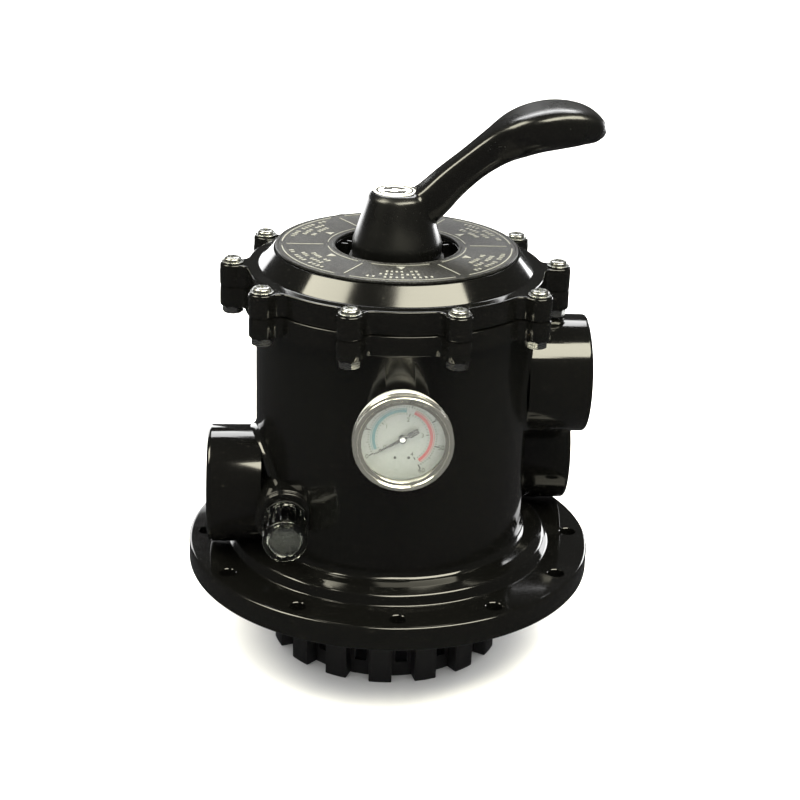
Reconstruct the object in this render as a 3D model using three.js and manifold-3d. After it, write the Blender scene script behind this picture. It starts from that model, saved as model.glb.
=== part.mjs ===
// Top-mount multiport valve for a sand filter tank: a lever-operated rotary selector valve with a
// pressure gauge and a sight glass. Units are millimetres, +Z is up, and the valve's own axis is Z.
// The origin is the middle of the diffuser's underside. The pump port points along +X, the waste
// port along -X, and the gauge along -Y.
import * as THREE from "three";
import { mergeVertices } from "three/addons/utils/BufferGeometryUtils.js";
import Module from "manifold-3d";

const wasm = await Module();
wasm.setup();

// ---------------------------------------------------------------- driving dimensions
const SEAT_GAP = 0.3; // between two pieces that rest on each other
const FIT = 0.3; // radial clearance of a piece in its bore
const BIG = 40; // facets of a large circle
const MID = 20; // facets of a medium circle
const SMALL = 12; // facets of a small circle

const diffuser = {
  height: 49, rimR: 66.5, wallR: 59, wall: 3, floor: 4, ribs: 16, ribShare: 0.5, ribPhaseDeg: -95.3,
  slotWidth: 7, slotFoot: 9, slotHead: 13, pipeHoleR: 30,
};
const neck = { fit: 0.8, wall: 5, reach: 8 };
const flange = {
  reach: 23, thickness: 13.7, edge: 2, boltInset: 10, boltHoleR: 4.5, bolts: 12, stepDepth: 1, stepClear: 1.5,
};
const foot = { reach: 15.5, rise: 7, shoulderRound: 3, sweepR: 15 };
const barrel = { outerR: 76.5, wall: 6.5, height: 149.2, rimReach: 6.5, rimThickness: 11 };
const seat = { height: 65, ledge: 8, webs: 6, webThickness: 4, webPhaseDeg: 30, floor: 4 };
const standpipe = { socketR: 25.2, wall: 3.6, mouth: 18 };
const port = { outerR: 33, boreR: 24, mouthChamfer: 2, endDome: 20 };
const pumpPort = { rise: 99.7, offset: 0, reach: 31.5 };
const lowPort = {
  rise: 36, wasteOffset: -12, wasteReach: 26.5, returnOffset: 49, returnReach: 30.5,
  throatR: 15, throatInset: 2,
};
const lid = {
  ringInset: 1.5, flange: 12.5, coneFootInset: 8, coneTopInset: 16, rise: 9.5, wall: 6,
  spigot: 8, spigotWall: 5, recessR: 33.5, recess: 7, hubR: 24, hubDrop: 5.5, spigotFit: 0.35,
};
const boltRing = { outset: 6.2, count: 10, lobeR: 7, holeR: 3.4, firstDeg: 0 };
const bolt = { shankR: 3, headR: 5.2, headHeight: 3, nutAcross: 10, nutHeight: 4 };
const label = { inset: 1, thickness: 1 };
const lidSeal = { wire: 1.9, set: 4 };
const gasket = { thickness: 3, spoke: 5 };
const rotor = {
  clearance: 4, thickness: 11.4, hubR: 20, hubHeight: 14, pocketDepth: 7, rib: 4, ribHeight: 6, ribs: 6,
  windowDeg: 40, windowInR: 32, windowInset: 6,
};
const stem = {
  shaftR: 11, socket: 13, tongueHalf: 8, headHeight: 9, grooveDepth: 1.9, grooveWidth: 2.4, sealPitch: 8,
};
const drivePin = { radius: 2.5 };
const spring = { coilR: 16.5, wireR: 1.6, turns: 5, endDwell: 0.75 };
const slipWasher = { outerR: 20, thickness: 1.5 };
const thrustWasher = { outerR: 26, thickness: 2.5 };
const lever = {
  pinHeight: 14, pinR: 3.5, pressDeg: 20, camOffset: 17.2, hubR: 24.5, hubStraight: 8, hubTopR: 13.5,
  hubHeight: 35.5, slotTop: 12.5, topOffset: -2,
};
const badge = { radius: 11.5, thickness: 1, sunk: 0.6 };
const gauge = {
  caseR: 24.3, caseWall: 1.2, caseDepth: 15.3, bossR: 12, bossReach: 2.5, stemR: 6.3,
  hexAcross: 15, hexLength: 5, bezelWall: 1.7, bezelDepth: 8, bezelLip: 1.1, lensThickness: 1.8, lensInset: 2,
  dialThickness: 0.8, dialBack: 6.3, needleLength: 16.5, needleTail: 9, needleThickness: 0.6, needleLift: 1.5,
  arborR: 1.2, arborDepth: 2.5, capR: 2, zeroDeg: 210, spigotR: 5, spigotReach: 3, sealR: 9.5, seal: 1.2,
  tubeR: 15.5, tubeWireR: 1.5, movementLength: 16, movementWidth: 10,
};
const sight = {
  barrelInset: 17, bossWall: 4.5, bossReach: 0.5, boreR: 9, cupR: 12, cupWall: 2, cupLength: 25.5,
  thread: 10, seal: 1.2,
};

// ---------------------------------------------------------------- levels, worked out from the stack
const z = {};
z.stepTop = diffuser.height + SEAT_GAP;
z.flangeFoot = z.stepTop - flange.stepDepth;
z.flangeTop = z.flangeFoot + flange.thickness;
z.shoulder = z.flangeTop + foot.rise;
z.joint = z.flangeTop + barrel.height;
z.barrelFoot = z.shoulder + foot.sweepR;
z.webFoot = z.flangeTop + seat.floor;
z.seat = z.flangeTop + seat.height;
z.gasketTop = z.seat + SEAT_GAP + gasket.thickness;
z.rotorFoot = z.gasketTop + SEAT_GAP;
z.rotorTop = z.rotorFoot + rotor.thickness;
z.rotorHubTop = z.rotorTop + rotor.hubHeight;
z.lidFoot = z.joint + SEAT_GAP;
z.lobeTop = z.lidFoot + lid.flange;
z.plateau = z.lobeTop + lid.rise;
z.recessFloor = z.plateau - lid.recess;
z.lidHubFoot = z.lidFoot - lid.hubDrop;
z.labelFoot = z.plateau + SEAT_GAP;
z.labelTop = z.labelFoot + label.thickness;
z.slipWasherTop = z.lidHubFoot - SEAT_GAP;
z.slipWasherFoot = z.slipWasherTop - slipWasher.thickness;
z.springFoot = z.rotorHubTop + SEAT_GAP;
z.springTop = z.slipWasherFoot - SEAT_GAP;
z.washerFoot = z.recessFloor + SEAT_GAP;
z.washerTop = z.washerFoot + thrustWasher.thickness;
z.leverFoot = z.washerTop + SEAT_GAP;
z.leverPin = z.leverFoot + lever.pinHeight;
z.leverHubTop = z.leverFoot + lever.hubHeight;
z.stemFoot = z.rotorHubTop - stem.socket;
z.stemTop = z.leverPin + stem.headHeight;
z.pumpPort = z.flangeTop + pumpPort.rise;
z.lowPort = z.flangeTop + lowPort.rise;
z.boltHead = z.lobeTop + SEAT_GAP;
z.nutTop = z.joint - barrel.rimThickness - SEAT_GAP;
const barrelInR = barrel.outerR - barrel.wall;
const seatInR = barrelInR - seat.ledge;
const neckR = diffuser.wallR - diffuser.wall - neck.fit;
const neckInR = neckR - neck.wall;
const rimR = barrel.outerR + barrel.rimReach;
const shoulderR = barrel.outerR + foot.reach;
const flangeR = shoulderR + flange.reach;
const boltCircleR = rimR + boltRing.outset;
const lidRingR = rimR - lid.ringInset;
const coneFootR = rimR - lid.coneFootInset;
const coneTopR = rimR - lid.coneTopInset;
const rotorR = barrelInR - rotor.clearance;
const windowOutR = rotorR - rotor.windowInset;
const pumpEnd = barrel.outerR + pumpPort.reach;
const wasteEnd = barrel.outerR + lowPort.wasteReach;
const returnEnd = barrel.outerR + lowPort.returnReach;
const washerInR = stem.shaftR + 2 * FIT;
const stepR = diffuser.rimR + flange.stepClear;
const grooveR = stem.shaftR - stem.grooveDepth;
const sealWireR = (stem.shaftR + FIT - grooveR) / 2 - 0.1;
const lidSealLevel = z.lidFoot - lidSeal.set - lidSeal.wire - 0.1;
const lidSealR = barrelInR - lid.spigotFit - lidSeal.wire + 0.05;
const press = THREE.MathUtils.degToRad(lever.pressDeg);
// How far below the lever's foot the stem's flats start, so that its round shoulders clear the pressed lever.
const flatsHalfX = Math.sqrt(stem.shaftR ** 2 - stem.tongueHalf ** 2);
const pressedHeight = (lever.pinHeight + flatsHalfX * Math.sin(press)) / Math.cos(press);
const flatsDrop = pressedHeight - lever.pinHeight + 2 * FIT;
const sightX = sight.barrelInset - barrel.outerR;
const sightBossR = sight.cupR + sight.bossWall;
// The sight glass boss runs out until the whole cup is clear of the barrel.
const sightFace = Math.sqrt(barrel.outerR ** 2 - (sightX + sight.cupR) ** 2) + sight.bossReach;

// ---------------------------------------------------------------- making solids
const rad = THREE.MathUtils.degToRad;

// A closed three.js geometry as a manifold-3d solid.
function solid(geometry) {
  const bare = new THREE.BufferGeometry();
  const source = geometry.index ? geometry.toNonIndexed() : geometry;
  bare.setAttribute("position", source.getAttribute("position"));
  const merged = mergeVertices(bare, 1e-4);
  const made = new wasm.Manifold(
    new wasm.Mesh({
      numProp: 3,
      vertProperties: new Float32Array(merged.attributes.position.array),
      triVerts: new Uint32Array(merged.index.array),
    }),
  );
  return made;
}

// A profile of [radius, height] points turned about Z. The points run anticlockwise or clockwise.
function turned(points, facets = BIG) {
  let area = 0;
  points.forEach(([r, h], i) => {
    const [r2, h2] = points[(i + 1) % points.length];
    area += r * h2 - r2 * h;
  });
  const outline = (area > 0 ? points : [...points].reverse()).map(([r, h]) => new THREE.Vector2(r, h));
  outline.push(outline[0].clone());
  return solid(new THREE.LatheGeometry(outline, facets).rotateX(Math.PI / 2));
}

const ring = (inR, outR, low, high, facets = BIG) =>
  turned([[inR, low], [outR, low], [outR, high], [inR, high]], facets);

const rod = (radius, low, high, facets = MID) =>
  solid(
    new THREE.CylinderGeometry(radius, radius, high - low, facets)
      .rotateX(Math.PI / 2)
      .translate(0, 0, (low + high) / 2),
  );

const block = (sx, sy, low, high) =>
  solid(new THREE.BoxGeometry(sx, sy, high - low).translate(0, 0, (low + high) / 2));

// A flat shape in X and Y, given height from low to high.
const slab = (shape, low, high, curveSegments = 12) =>
  solid(
    new THREE.ExtrudeGeometry(shape, { depth: high - low, bevelEnabled: false, curveSegments })
      .translate(0, 0, low),
  );

const join = (...solids) => solids.reduce((sum, s) => sum.add(s));
const cut = (whole, ...tools) => tools.reduce((left, t) => left.subtract(t), whole);
const turnZ = (s, degrees) => s.rotate([0, 0, degrees]);
// A rod lying along Y, centred on Z, from minus to plus a reach.
const sideRod = (radius, reach, level) =>
  rod(radius, -reach, reach, SMALL).rotate([90, 0, 0]).translate([0, 0, level]);
const copies = (count, firstDeg, make) =>
  Array.from({ length: count }, (_, i) => turnZ(make(i), firstDeg + (360 * i) / count));

// Points on a round stretch of a profile, ends included, with angles in degrees.
const arc = (cr, cz, radius, fromDeg, toDeg, steps = 5) =>
  Array.from({ length: steps + 1 }, (_, i) => {
    const a = rad(fromDeg + ((toDeg - fromDeg) * i) / steps);
    return [cr + radius * Math.cos(a), cz + radius * Math.sin(a)];
  });

// A pie-shaped piece between two radii and two angles.
function sector(inR, outR, fromDeg, toDeg, low, high, curveSegments = 3) {
  const shape = new THREE.Shape();
  shape.absarc(0, 0, outR, rad(fromDeg), rad(toDeg), false);
  shape.absarc(0, 0, inR, rad(toDeg), rad(fromDeg), true);
  return slab(shape, low, high, curveSegments);
}

const torus = (centreR, wireR, level, facets = MID, sides = 8) =>
  solid(new THREE.TorusGeometry(centreR, wireR, sides, facets).translate(0, 0, level));

const material = (color, roughness, metalness = 0, more = {}) =>
  new THREE.MeshStandardMaterial({ color, roughness, metalness, ...more });

const black = material(0x101010, 0.25);
const satinBlack = material(0x1a1a19, 0.45);
const rubber = material(0x141414, 0.85);
const white = material(0xe6e8e6, 0.5);
const acetal = material(0x1b1b1a, 0.4);
const steel = material(0xc4c6c8, 0.3, 1);
const chrome = material(0xd6d8da, 0.15, 1);
const brass = material(0xb08d4a, 0.35, 1);
const clear = material(0xd8e0dc, 0.08, 0, { transparent: true, opacity: 0.35 });

// A named mesh of a solid.
function part(name, made, look) {
  const { numProp, vertProperties, triVerts } = made.getMesh();
  const position = new Float32Array((vertProperties.length / numProp) * 3);
  for (let i = 0; i < position.length / 3; i++) {
    position.set(vertProperties.subarray(i * numProp, i * numProp + 3), i * 3);
  }
  const geometry = new THREE.BufferGeometry();
  geometry.setAttribute("position", new THREE.BufferAttribute(position, 3));
  geometry.setIndex(new THREE.BufferAttribute(new Uint32Array(triVerts), 1));
  geometry.computeVertexNormals();
  const mesh = new THREE.Mesh(geometry, look);
  mesh.name = name;
  return mesh;
}

// ---------------------------------------------------------------- body
// A rod lying along +X from one distance to another, at an offset in Y and a level in Z.
const crossRod = (radius, from, to, offset, level, facets = MID) =>
  rod(radius, from, to, facets).rotate([0, 90, 0]).translate([0, offset, level]);

// A bolt lobe: a round end on the bolt circle and a straight root that runs into the rim.
function lobe(low, high, rootR) {
  const root = solid(
    new THREE.BoxGeometry(boltCircleR - rootR, 2 * boltRing.lobeR, high - low).translate(
      (boltCircleR + rootR) / 2, 0, (low + high) / 2,
    ),
  );
  return join(rod(boltRing.lobeR, low, high, SMALL).translate([boltCircleR, 0, 0]), root);
}

const boltHoles = (low, high) =>
  copies(boltRing.count, boltRing.firstDeg, () =>
    rod(boltRing.holeR, low, high, SMALL).translate([boltCircleR, 0, 0]),
  );

// The sleeve of a port, from inside the barrel's wall to its mouth. Its inner end may be a dome.
function portSleeve({ from, end, offset, level, turn = 0, dome = 0 }) {
  const innerEnd = [90, 60, 35, 15, 0].map((deg) => [
    port.outerR * Math.cos(rad(deg)), from - dome * Math.sin(rad(deg)),
  ]);
  const mouth = turned(
    [
      ...(dome ? innerEnd : [[0, from], [port.outerR, from]]), [port.outerR, end - port.mouthChamfer],
      [port.outerR - port.mouthChamfer, end], [0, end],
    ],
    MID,
  );
  return turnZ(mouth.rotate([0, 90, 0]), turn).translate([0, offset, level]);
}

function valveBody() {
  const shell = turned([
    [neckInR, z.flangeFoot - neck.reach],
    [neckR, z.flangeFoot - neck.reach],
    [neckR, z.stepTop],
    [stepR, z.stepTop],
    [stepR, z.flangeFoot],
    [flangeR - flange.edge, z.flangeFoot],
    [flangeR, z.flangeFoot + flange.edge],
    [flangeR, z.flangeTop - flange.edge],
    [flangeR - flange.edge, z.flangeTop],
    [shoulderR, z.flangeTop],
    ...arc(shoulderR - foot.shoulderRound, z.shoulder - foot.shoulderRound, foot.shoulderRound, 0, 90, 3),
    ...arc(shoulderR - foot.shoulderRound - 0.5, z.barrelFoot, foot.sweepR, 270, 180, 6)
      .map(([r, h]) => [Math.max(r, barrel.outerR), h]),
    [barrel.outerR, z.joint - barrel.rimThickness],
    [rimR, z.joint - barrel.rimThickness],
    [rimR, z.joint],
    [barrelInR, z.joint],
    [barrelInR, z.seat],
    [seatInR, z.seat],
    [seatInR, z.webFoot],
    [neckInR, z.webFoot],
  ]);
  const lobes = copies(boltRing.count, boltRing.firstDeg, () =>
    lobe(z.joint - barrel.rimThickness, z.joint, barrel.outerR - 2),
  );
  const inside = barrelInR + barrel.wall / 2;
  const returnInside = Math.sqrt(Math.max(inside ** 2 - lowPort.returnOffset ** 2, 0)) - port.boreR;
  const sleeves = [
    portSleeve({ from: inside, end: pumpEnd, offset: pumpPort.offset, level: z.pumpPort }),
    portSleeve({ from: inside, end: wasteEnd, offset: lowPort.wasteOffset, level: z.lowPort, turn: 180 }),
    portSleeve({
      from: returnInside, end: returnEnd, offset: lowPort.returnOffset, level: z.lowPort, dome: port.endDome,
    }),
  ];
  const gaugeBoss = rod(gauge.bossR, inside, barrel.outerR + gauge.bossReach, MID)
    .rotate([90, 0, 0]).translate([0, 0, z.pumpPort]);
  const sightBoss = rod(sightBossR, -lowPort.wasteOffset, sightFace, MID)
    .rotate([90, 0, 0]).translate([sightX, 0, z.lowPort]);
  const pipeSocket = rod(standpipe.socketR + standpipe.wall, standpipe.mouth, z.seat, MID);
  const webs = copies(seat.webs, seat.webPhaseDeg, () =>
    solid(
      new THREE.BoxGeometry(seatInR + 1 - standpipe.socketR, seat.webThickness, z.seat - z.webFoot).translate(
        (seatInR + 1 + standpipe.socketR) / 2, 0, (z.seat + z.webFoot) / 2,
      ),
    ),
  );
  // The waste and return chambers have floors; the other four open down into the tank.
  const chamberDeg = 360 / seat.webs;
  const floors = [seat.webPhaseDeg, seat.webPhaseDeg + 2 * chamberDeg].map((from) =>
    sector(standpipe.socketR + 1, neckInR + 2, from, from + chamberDeg, z.webFoot - seat.floor, z.webFoot),
  );
  const hollow = cut(
    join(shell, ...lobes, ...sleeves, gaugeBoss, sightBoss),
    rod(barrelInR, z.seat, z.joint + 1, BIG),
    rod(seatInR, z.webFoot, z.seat + 1, BIG),
    rod(neckInR, z.flangeFoot - neck.reach - 1, z.webFoot + 1, BIG),
  );
  // The low bores stop short of the webs, and a narrower throat takes the return bore on into its chamber.
  const webAngle = rad(seat.webPhaseDeg);
  const webClear = (seatInR + 1) * Math.cos(webAngle) + seat.webThickness;
  const webSide = (seatInR + 1) * Math.sin(webAngle) + seat.webThickness / 2;
  const throatY = webSide + lowPort.throatInset + lowPort.throatR;
  return cut(
    join(hollow, pipeSocket, ...webs, ...floors),
    crossRod(port.boreR, barrelInR - 4, pumpEnd + 1, pumpPort.offset, z.pumpPort),
    crossRod(port.boreR, -wasteEnd - 1, -webClear, lowPort.wasteOffset, z.lowPort),
    crossRod(port.boreR, webClear, returnEnd + 1, lowPort.returnOffset, z.lowPort),
    crossRod(lowPort.throatR, webClear - lowPort.throatR, webClear + 1, throatY, z.lowPort),
    rod(gauge.stemR + FIT, 0, barrel.outerR + gauge.bossReach + 1, SMALL)
      .rotate([90, 0, 0]).translate([0, 0, z.pumpPort]),
    rod(sight.boreR, -lowPort.wasteOffset, sightFace + 1, MID)
      .rotate([90, 0, 0]).translate([sightX, 0, z.lowPort]),
    rod(standpipe.socketR, standpipe.mouth - 1, z.seat + 1, MID),
    ...boltHoles(z.joint - barrel.rimThickness - 1, z.joint + 1),
    ...copies(flange.bolts, 0, () =>
      rod(flange.boltHoleR, z.flangeFoot - 1, z.flangeTop + 1, SMALL)
        .translate([flangeR - flange.boltInset, 0, 0]),
    ),
  );
}

// ---------------------------------------------------------------- tank side
// The ribbed basket that spreads the water over the sand.
function diffuserBasket() {
  const inR = diffuser.wallR - diffuser.wall;
  const cup = turned([
    [diffuser.pipeHoleR, 0], [diffuser.wallR, 0], [diffuser.wallR, diffuser.height],
    [inR, diffuser.height], [inR, diffuser.floor], [diffuser.pipeHoleR, diffuser.floor],
  ]);
  const ribDeg = (360 / diffuser.ribs) * diffuser.ribShare;
  const ribs = copies(diffuser.ribs, diffuser.ribPhaseDeg, () =>
    sector(diffuser.wallR - 1, diffuser.rimR, -ribDeg / 2, ribDeg / 2, 0, diffuser.height, 1),
  );
  const slots = copies(diffuser.ribs, diffuser.ribPhaseDeg + 180 / diffuser.ribs, () =>
    block(4 * diffuser.wall, diffuser.slotWidth, diffuser.slotFoot, diffuser.height - diffuser.slotHead)
      .translate([diffuser.wallR, 0, 0]),
  );
  return cut(join(cup, ...ribs), ...slots);
}

// ---------------------------------------------------------------- lid and its fasteners
function lidCasting() {
  const spigotR = barrelInR - lid.spigotFit;
  const hollowR = spigotR - lid.spigotWall;
  const shell = turned([
    [stem.shaftR + FIT, z.lidHubFoot],
    [lid.hubR, z.lidHubFoot],
    [lid.hubR, z.recessFloor - lid.wall],
    [lid.recessR + lid.wall, z.recessFloor - lid.wall],
    [lid.recessR + lid.wall, z.plateau - lid.wall],
    [Math.min(hollowR - 2, coneTopR - lid.wall), z.plateau - lid.wall],
    [hollowR, z.lidFoot],
    [hollowR, z.lidFoot - lid.spigot],
    [spigotR - 2 * lidSeal.wire, z.lidFoot - lid.spigot],
    [spigotR - 2 * lidSeal.wire, z.lidFoot - lidSeal.set],
    [spigotR, z.lidFoot - lidSeal.set],
    [spigotR, z.lidFoot],
    [lidRingR, z.lidFoot],
    [lidRingR, z.lobeTop],
    [coneFootR, z.lobeTop],
    [coneTopR, z.plateau],
    [lid.recessR, z.plateau],
    [lid.recessR, z.recessFloor],
    [stem.shaftR + FIT, z.recessFloor],
  ]);
  const lobes = copies(boltRing.count, boltRing.firstDeg, () => lobe(z.lidFoot, z.lobeTop, coneFootR - 1));
  return cut(join(shell, ...lobes), ...boltHoles(z.lidFoot - 1, z.lobeTop + 1));
}

const nutFoot = z.nutTop - bolt.nutHeight;

function lidBolt() {
  const head = turned(
    [
      [0, 0], [bolt.headR, 0], [bolt.headR, bolt.headHeight * 0.5],
      [bolt.headR * 0.8, bolt.headHeight], [0, bolt.headHeight],
    ],
    SMALL,
  );
  return join(head, rod(bolt.shankR, nutFoot - z.boltHead, bolt.headHeight / 2, 8));
}

const hexagon = (across, low, high) => rod(across / Math.sqrt(3), low, high, 6);
const lidNut = () =>
  cut(hexagon(bolt.nutAcross, 0, bolt.nutHeight), rod(bolt.shankR + FIT, -1, bolt.nutHeight + 1, 8));

// ---------------------------------------------------------------- the turning set
// The flat rubber wheel that the rotor shuts on.
function spiderGasket() {
  const low = z.seat + SEAT_GAP;
  const spokes = copies(seat.webs, seat.webPhaseDeg, () =>
    solid(
      new THREE.BoxGeometry(seatInR + 1 - standpipe.socketR - 1, gasket.spoke, gasket.thickness).translate(
        (seatInR + standpipe.socketR + 2) / 2, 0, low + gasket.thickness / 2,
      ),
    ),
  );
  return join(
    ring(seatInR, barrelInR - FIT, low, z.gasketTop),
    ring(standpipe.socketR, standpipe.socketR + standpipe.wall, low, z.gasketTop, MID),
    ...spokes,
  );
}

// The diverter: one window lets water down from the upper chamber, and one pocket under it joins the
// standpipe to a chamber.
function rotorDisc() {
  const disc = join(
    rod(rotorR, z.rotorFoot, z.rotorTop, BIG),
    rod(rotor.hubR, z.rotorTop - 1, z.rotorHubTop, MID),
    ...copies(rotor.ribs, 0, () =>
      solid(
        new THREE.BoxGeometry(rotorR - 3, rotor.rib, rotor.ribHeight + 1).translate(
          (rotorR - 3) / 2, 0, z.rotorTop + (rotor.ribHeight - 1) / 2,
        ),
      ),
    ),
  );
  const window = sector(
    rotor.windowInR, windowOutR, -30 - rotor.windowDeg / 2, -30 + rotor.windowDeg / 2,
    z.rotorFoot - 1, z.rotorTop + 1,
  );
  const pocketTop = z.rotorFoot + rotor.pocketDepth;
  const pocket = join(
    rod(standpipe.socketR - 1, z.rotorFoot - 1, pocketTop, MID),
    sector(
      standpipe.socketR - 3, windowOutR, 90 - rotor.windowDeg / 2, 90 + rotor.windowDeg / 2,
      z.rotorFoot - 1, pocketTop,
    ),
  );
  const stemSocket = rod(stem.shaftR + FIT, z.stemFoot - SEAT_GAP, z.rotorHubTop + 1, MID);
  return cut(disc, window, pocket, stemSocket, sideRod(drivePin.radius + FIT, rotor.hubR + 1, drivePinLevel));
}

const drivePinLevel = z.stemFoot + stem.socket / 2;
const sealLevels = [0, 1].map((i) => (z.lidHubFoot + z.recessFloor) / 2 + (i - 0.5) * stem.sealPitch);

function stemShaft() {
  const half = stem.grooveWidth / 2;
  const shoulder = z.leverFoot - flatsDrop;
  const grooves = sealLevels.flatMap((level) => [
    [stem.shaftR, level - half], [grooveR, level - half],
    [grooveR, level + half], [stem.shaftR, level + half],
  ]);
  const shaft = turned(
    [[0, z.stemFoot], [stem.shaftR, z.stemFoot], ...grooves, [stem.shaftR, z.stemTop], [0, z.stemTop]], MID,
  );
  const flats = [-1, 1].map((side) =>
    block(4 * stem.shaftR, 2 * stem.shaftR, shoulder, z.stemTop + 1)
      .translate([0, side * (stem.tongueHalf + stem.shaftR), 0]),
  );
  return cut(
    shaft, ...flats,
    sideRod(lever.pinR + FIT, stem.shaftR + 1, z.leverPin),
    sideRod(drivePin.radius + FIT, stem.shaftR + 1, drivePinLevel),
  );
}

// A helix about Z whose first and last stretches lie flat, as a spring with closed ends does.
class SpringPath extends THREE.Curve {
  getPoint(t, target = new THREE.Vector3()) {
    const travel = z.springTop - z.springFoot - 2 * spring.wireR;
    const turn = t * (spring.turns + 2 * spring.endDwell);
    const climb = THREE.MathUtils.clamp((turn - spring.endDwell) / spring.turns, 0, 1);
    const a = 2 * Math.PI * turn;
    const lean = 2 * spring.wireR * (Math.min(turn, spring.endDwell) / spring.endDwell);
    const settle = 2 * spring.wireR * Math.max(0, (turn - spring.turns - spring.endDwell) / spring.endDwell);
    const body = travel - 4 * spring.wireR;
    return target.set(
      spring.coilR * Math.cos(a), spring.coilR * Math.sin(a),
      z.springFoot + spring.wireR + lean + climb * body + settle,
    );
  }
}

function coilSpring() {
  const section = new THREE.Shape();
  section.absarc(0, 0, spring.wireR, 0, 2 * Math.PI, false);
  return solid(
    new THREE.ExtrudeGeometry(section, {
      extrudePath: new SpringPath(), steps: 72, curveSegments: 3, bevelEnabled: false,
    }),
  );
}

// ---------------------------------------------------------------- lever
// How far the lever pin rises when the lever is pressed to an angle, and the cam that makes it rise.
const camPoint = (deg) => {
  const a = rad(deg);
  const h = lever.pinHeight + lever.camOffset * a;
  return [
    h * Math.sin(a) + lever.camOffset * Math.cos(a),
    -h * Math.cos(a) + lever.camOffset * Math.sin(a),
  ];
};

// The lever's arm and grip: stations of [x, height over the pin, half width, half thickness].
const armStations = [
  [2, 6, 12, 11], [16, 15, 11.5, 10.5], [28, 27, 10, 9.5], [40, 37.5, 9.5, 9], [52, 46.5, 11.5, 10],
  [62, 52.5, 17.5, 11.5], [72, 56.5, 20.5, 12], [84, 58.8, 20.5, 12], [96, 59, 18, 10.3], [105, 57, 12, 7],
  [109.5, 55.5, 4, 3],
];

// A tube through the stations, made by bending a cylinder along them. Its section is a rounded box.
function leverArm() {
  const steps = 18;
  const facets = 16;
  const roundness = 2.6;
  const path = new THREE.CatmullRomCurve3(armStations.map(([x, h]) => new THREE.Vector3(x, 0, h)));
  const sizes = new THREE.CatmullRomCurve3(armStations.map(([, , w, t]) => new THREE.Vector3(w, t, 0)));
  const tube = new THREE.CylinderGeometry(1, 1, 1, facets, steps);
  const p = tube.attributes.position;
  for (let i = 0; i < p.count; i++) {
    const t = p.getY(i) + 0.5;
    const at = path.getPoint(t);
    const along = path.getTangent(t);
    const size = sizes.getPoint(t);
    const reach = Math.hypot(p.getX(i), p.getZ(i));
    const a = Math.atan2(p.getZ(i), p.getX(i));
    const power = Math.abs(Math.cos(a)) ** roundness + Math.abs(Math.sin(a)) ** roundness;
    const squarer = Math.min(reach, 1) * power ** (-1 / roundness);
    const side = Math.cos(a) * squarer * size.x;
    const up = -Math.sin(a) * squarer * size.y;
    p.setXYZ(i, at.x - along.z * up, side, at.z + along.x * up);
  }
  return solid(tube);
}

function leverHandle() {
  const top = lever.hubHeight - lever.pinHeight;
  const bellyTop = lever.hubStraight - lever.pinHeight;
  // The side view of the hub's underside: flat, then the cam, then up and over.
  const cam = Array.from({ length: 6 }, (_, i) => camPoint((lever.pressDeg * i) / 5));
  const [camX, camZ] = cam[cam.length - 1];
  const runOut = (lever.hubR + 2 - camX) * Math.tan(press);
  const outline = new THREE.Shape([
    new THREE.Vector2(-lever.hubR - 2, -lever.pinHeight),
    ...cam.map(([x, h]) => new THREE.Vector2(x, h)),
    new THREE.Vector2(lever.hubR + 2, camZ + runOut),
    new THREE.Vector2(lever.hubR + 2, top + 5),
    new THREE.Vector2(-lever.hubR - 2, top + 5),
  ]);
  const sideView = slab(outline, -lever.hubR - 5, lever.hubR + 5).rotate([90, 0, 0]);
  const dome = turned(
    [
      [0, -lever.pinHeight], [lever.hubR, -lever.pinHeight], [lever.hubR, bellyTop],
      [lever.hubR - 1.5, bellyTop + 6], [lever.hubR - 5, bellyTop + 16], [lever.hubTopR + 2.5, top - 3],
      [lever.hubTopR, top], [0, top],
    ],
    MID,
  );
  const hub = dome.intersect(sideView);
  // Room for the stem's tongue to lean in while the lever is pressed.
  const lean = Math.tan(press);
  const halfX = stem.shaftR + 3 * FIT;
  const headRoom = lever.slotTop;
  const drop = lever.pinHeight + 1;
  const slotShape = new THREE.Shape([
    new THREE.Vector2(-halfX, -drop),
    new THREE.Vector2(halfX + drop * lean, -drop),
    new THREE.Vector2(halfX + 1, 0),
    new THREE.Vector2(halfX + 1, headRoom),
    new THREE.Vector2(-halfX - headRoom * lean, headRoom),
    new THREE.Vector2(-halfX - 1, 0),
  ]);
  const slot = slab(slotShape, -stem.tongueHalf - FIT, stem.tongueHalf + FIT).rotate([90, 0, 0]);
  const shaftRoom = rod(stem.shaftR + 3 * FIT, -lever.pinHeight - 1, -lever.pinHeight + 1.5, MID);
  const pinHole = sideRod(lever.pinR + FIT, lever.hubR + 1, 0);
  const badgeSeat = rod(badge.radius + FIT, top - badge.sunk, top + 2, MID)
    .translate([lever.topOffset, 0, 0]);
  return cut(join(hub, leverArm()), slot, shaftRoom, pinHole, badgeSeat);
}

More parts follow.
